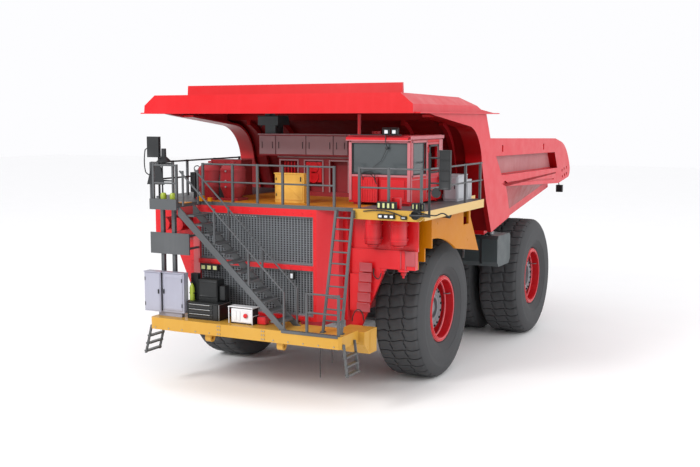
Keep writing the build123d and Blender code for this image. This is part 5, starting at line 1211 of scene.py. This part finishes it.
# %% Dump body fittings
pocket = [(2.83, 5.675), (8.90, 5.605), (9.24, 5.115), (3.33, 5.165)]
ledge = [(3.45, 4.865), (3.75, 4.80), (9.1, 4.915), (9.1, 4.955), (5.4, 4.905)]
skins, ledges, tail_boxes, tail_lenses = [], [], [], []
for sign in (1, -1):
    skins.append(cut_plate(pocket, 3.602 * sign, 3.607 * sign))
    ledges.append(cut_plate(ledge, 3.852 * sign, 3.862 * sign))
    a, b = sorted((3.50 * sign, 3.72 * sign))
    tail_boxes += [panelled_plate((a, 10.50, 4.18), (b, 10.64, 4.43), REAR, 0.02, 0.012, 0.005),
                   bar([(3.61 * sign, 10.52, 4.40), (3.61 * sign, 10.36, 4.62), (3.61 * sign, 10.30, 4.80)], 0.018)]
    tail_lenses += [plate((a + 0.035, 10.62, z), (b - 0.035, 10.635, z + 0.08), 0.006) for z in (4.22, 4.32)]
# Painted reflection: the grey pink of the pocket skins stands for a sheen on the red side.
pocket_reflection_enamel = enamel("bleached grey pink enamel in the side pockets", "#B06A6E", "#BC8080", "#9A6A62",
                     gloss=0.5, coat=0.0)
done(skins, "body_pocket_skins", pocket_reflection_enamel, "dump_body")
# Painted shade: the deep red ledges stand for the shadow under the rub rail.
ledge_shade_enamel = enamel("deep red enamel with painted shade under the rub rail", "#860610", "#900E16", "#7A2A24", gloss=0.5, coat=0.0, shine=0.1)
done(ledges, "body_ledges", ledge_shade_enamel, "dump_body")
done(tail_boxes, "tail_lamp_boxes", black_enamel, "dump_body")
done(tail_lenses, "tail_lamp_lenses", red_lens, "dump_body")
bolts([(sign * x, 10.842, 4.975) for sign in (1, -1) for x in (0.5, 1.2, 1.9, 2.6, 3.3)], REAR, "tail_edge_bolts",
      zinc_steel, "dump_body", 0.03, 0.018)
print("body fittings ready")

# %% [markdown]
# The rear axle box opens at the back: a round hatch lets a fitter in to the wheel motors, and
# it has a lifting handle. Air and brake pipes run in clips along the front half of both rails.

# %% Axle hatch and frame pipes
hatch = [turned([(6.90, 0.43), (7.112, 0.43), (7.128, 0.415), (7.128, 0.30), (7.142, 0.29), (7.142, 0.0)],
                (0.0, 0.0, AXLE_HEIGHT), REAR, 40),
         pipe([(-0.12, 7.13, 1.95), (-0.12, 7.20, 1.97), (0.12, 7.20, 1.97), (0.12, 7.13, 1.95)], 0.014)]
hatch += [turned([(x, 0.63), (x, 0.672), (x + 0.05, 0.672), (x + 0.05, 0.63), (x, 0.63)],
                 (0.0, WHEELBASE, AXLE_HEIGHT), LEFT, 48)
          for x in (-1.10, 1.05)]
done(hatch, "axle_hatch", engine_enamel)
bolts([(0.365 * cos(2 * pi * i / 20), 7.128, AXLE_HEIGHT + 0.365 * sin(2 * pi * i / 20))
       for i in range(20)], REAR, "axle_hatch_bolts", zinc_steel, "chassis", 0.018, 0.02)
pipes, clips = [], []
for sign in (1, -1):
    for z in (1.72, 1.79, 1.86):
        pipes.append(pipe([(sign * 0.975, -2.2, z), (sign * 0.975, 0.0, z), (sign * 0.975, 2.2, z + 0.05),
                           (sign * 0.975, 2.9, z + 0.35)], 0.014))
    for y in (-2.0, -1.2, 0.8, 1.6, 2.2):
        a, b = sorted((sign * 0.951, sign * 0.995))
        clips.append(plate((a, y, 1.69), (b, y + 0.05, 1.93), 0.004))
done(pipes, "frame_pipes", dark_steel)
done(clips, "frame_pipe_clips", zinc_steel)
print("axle and pipes ready")
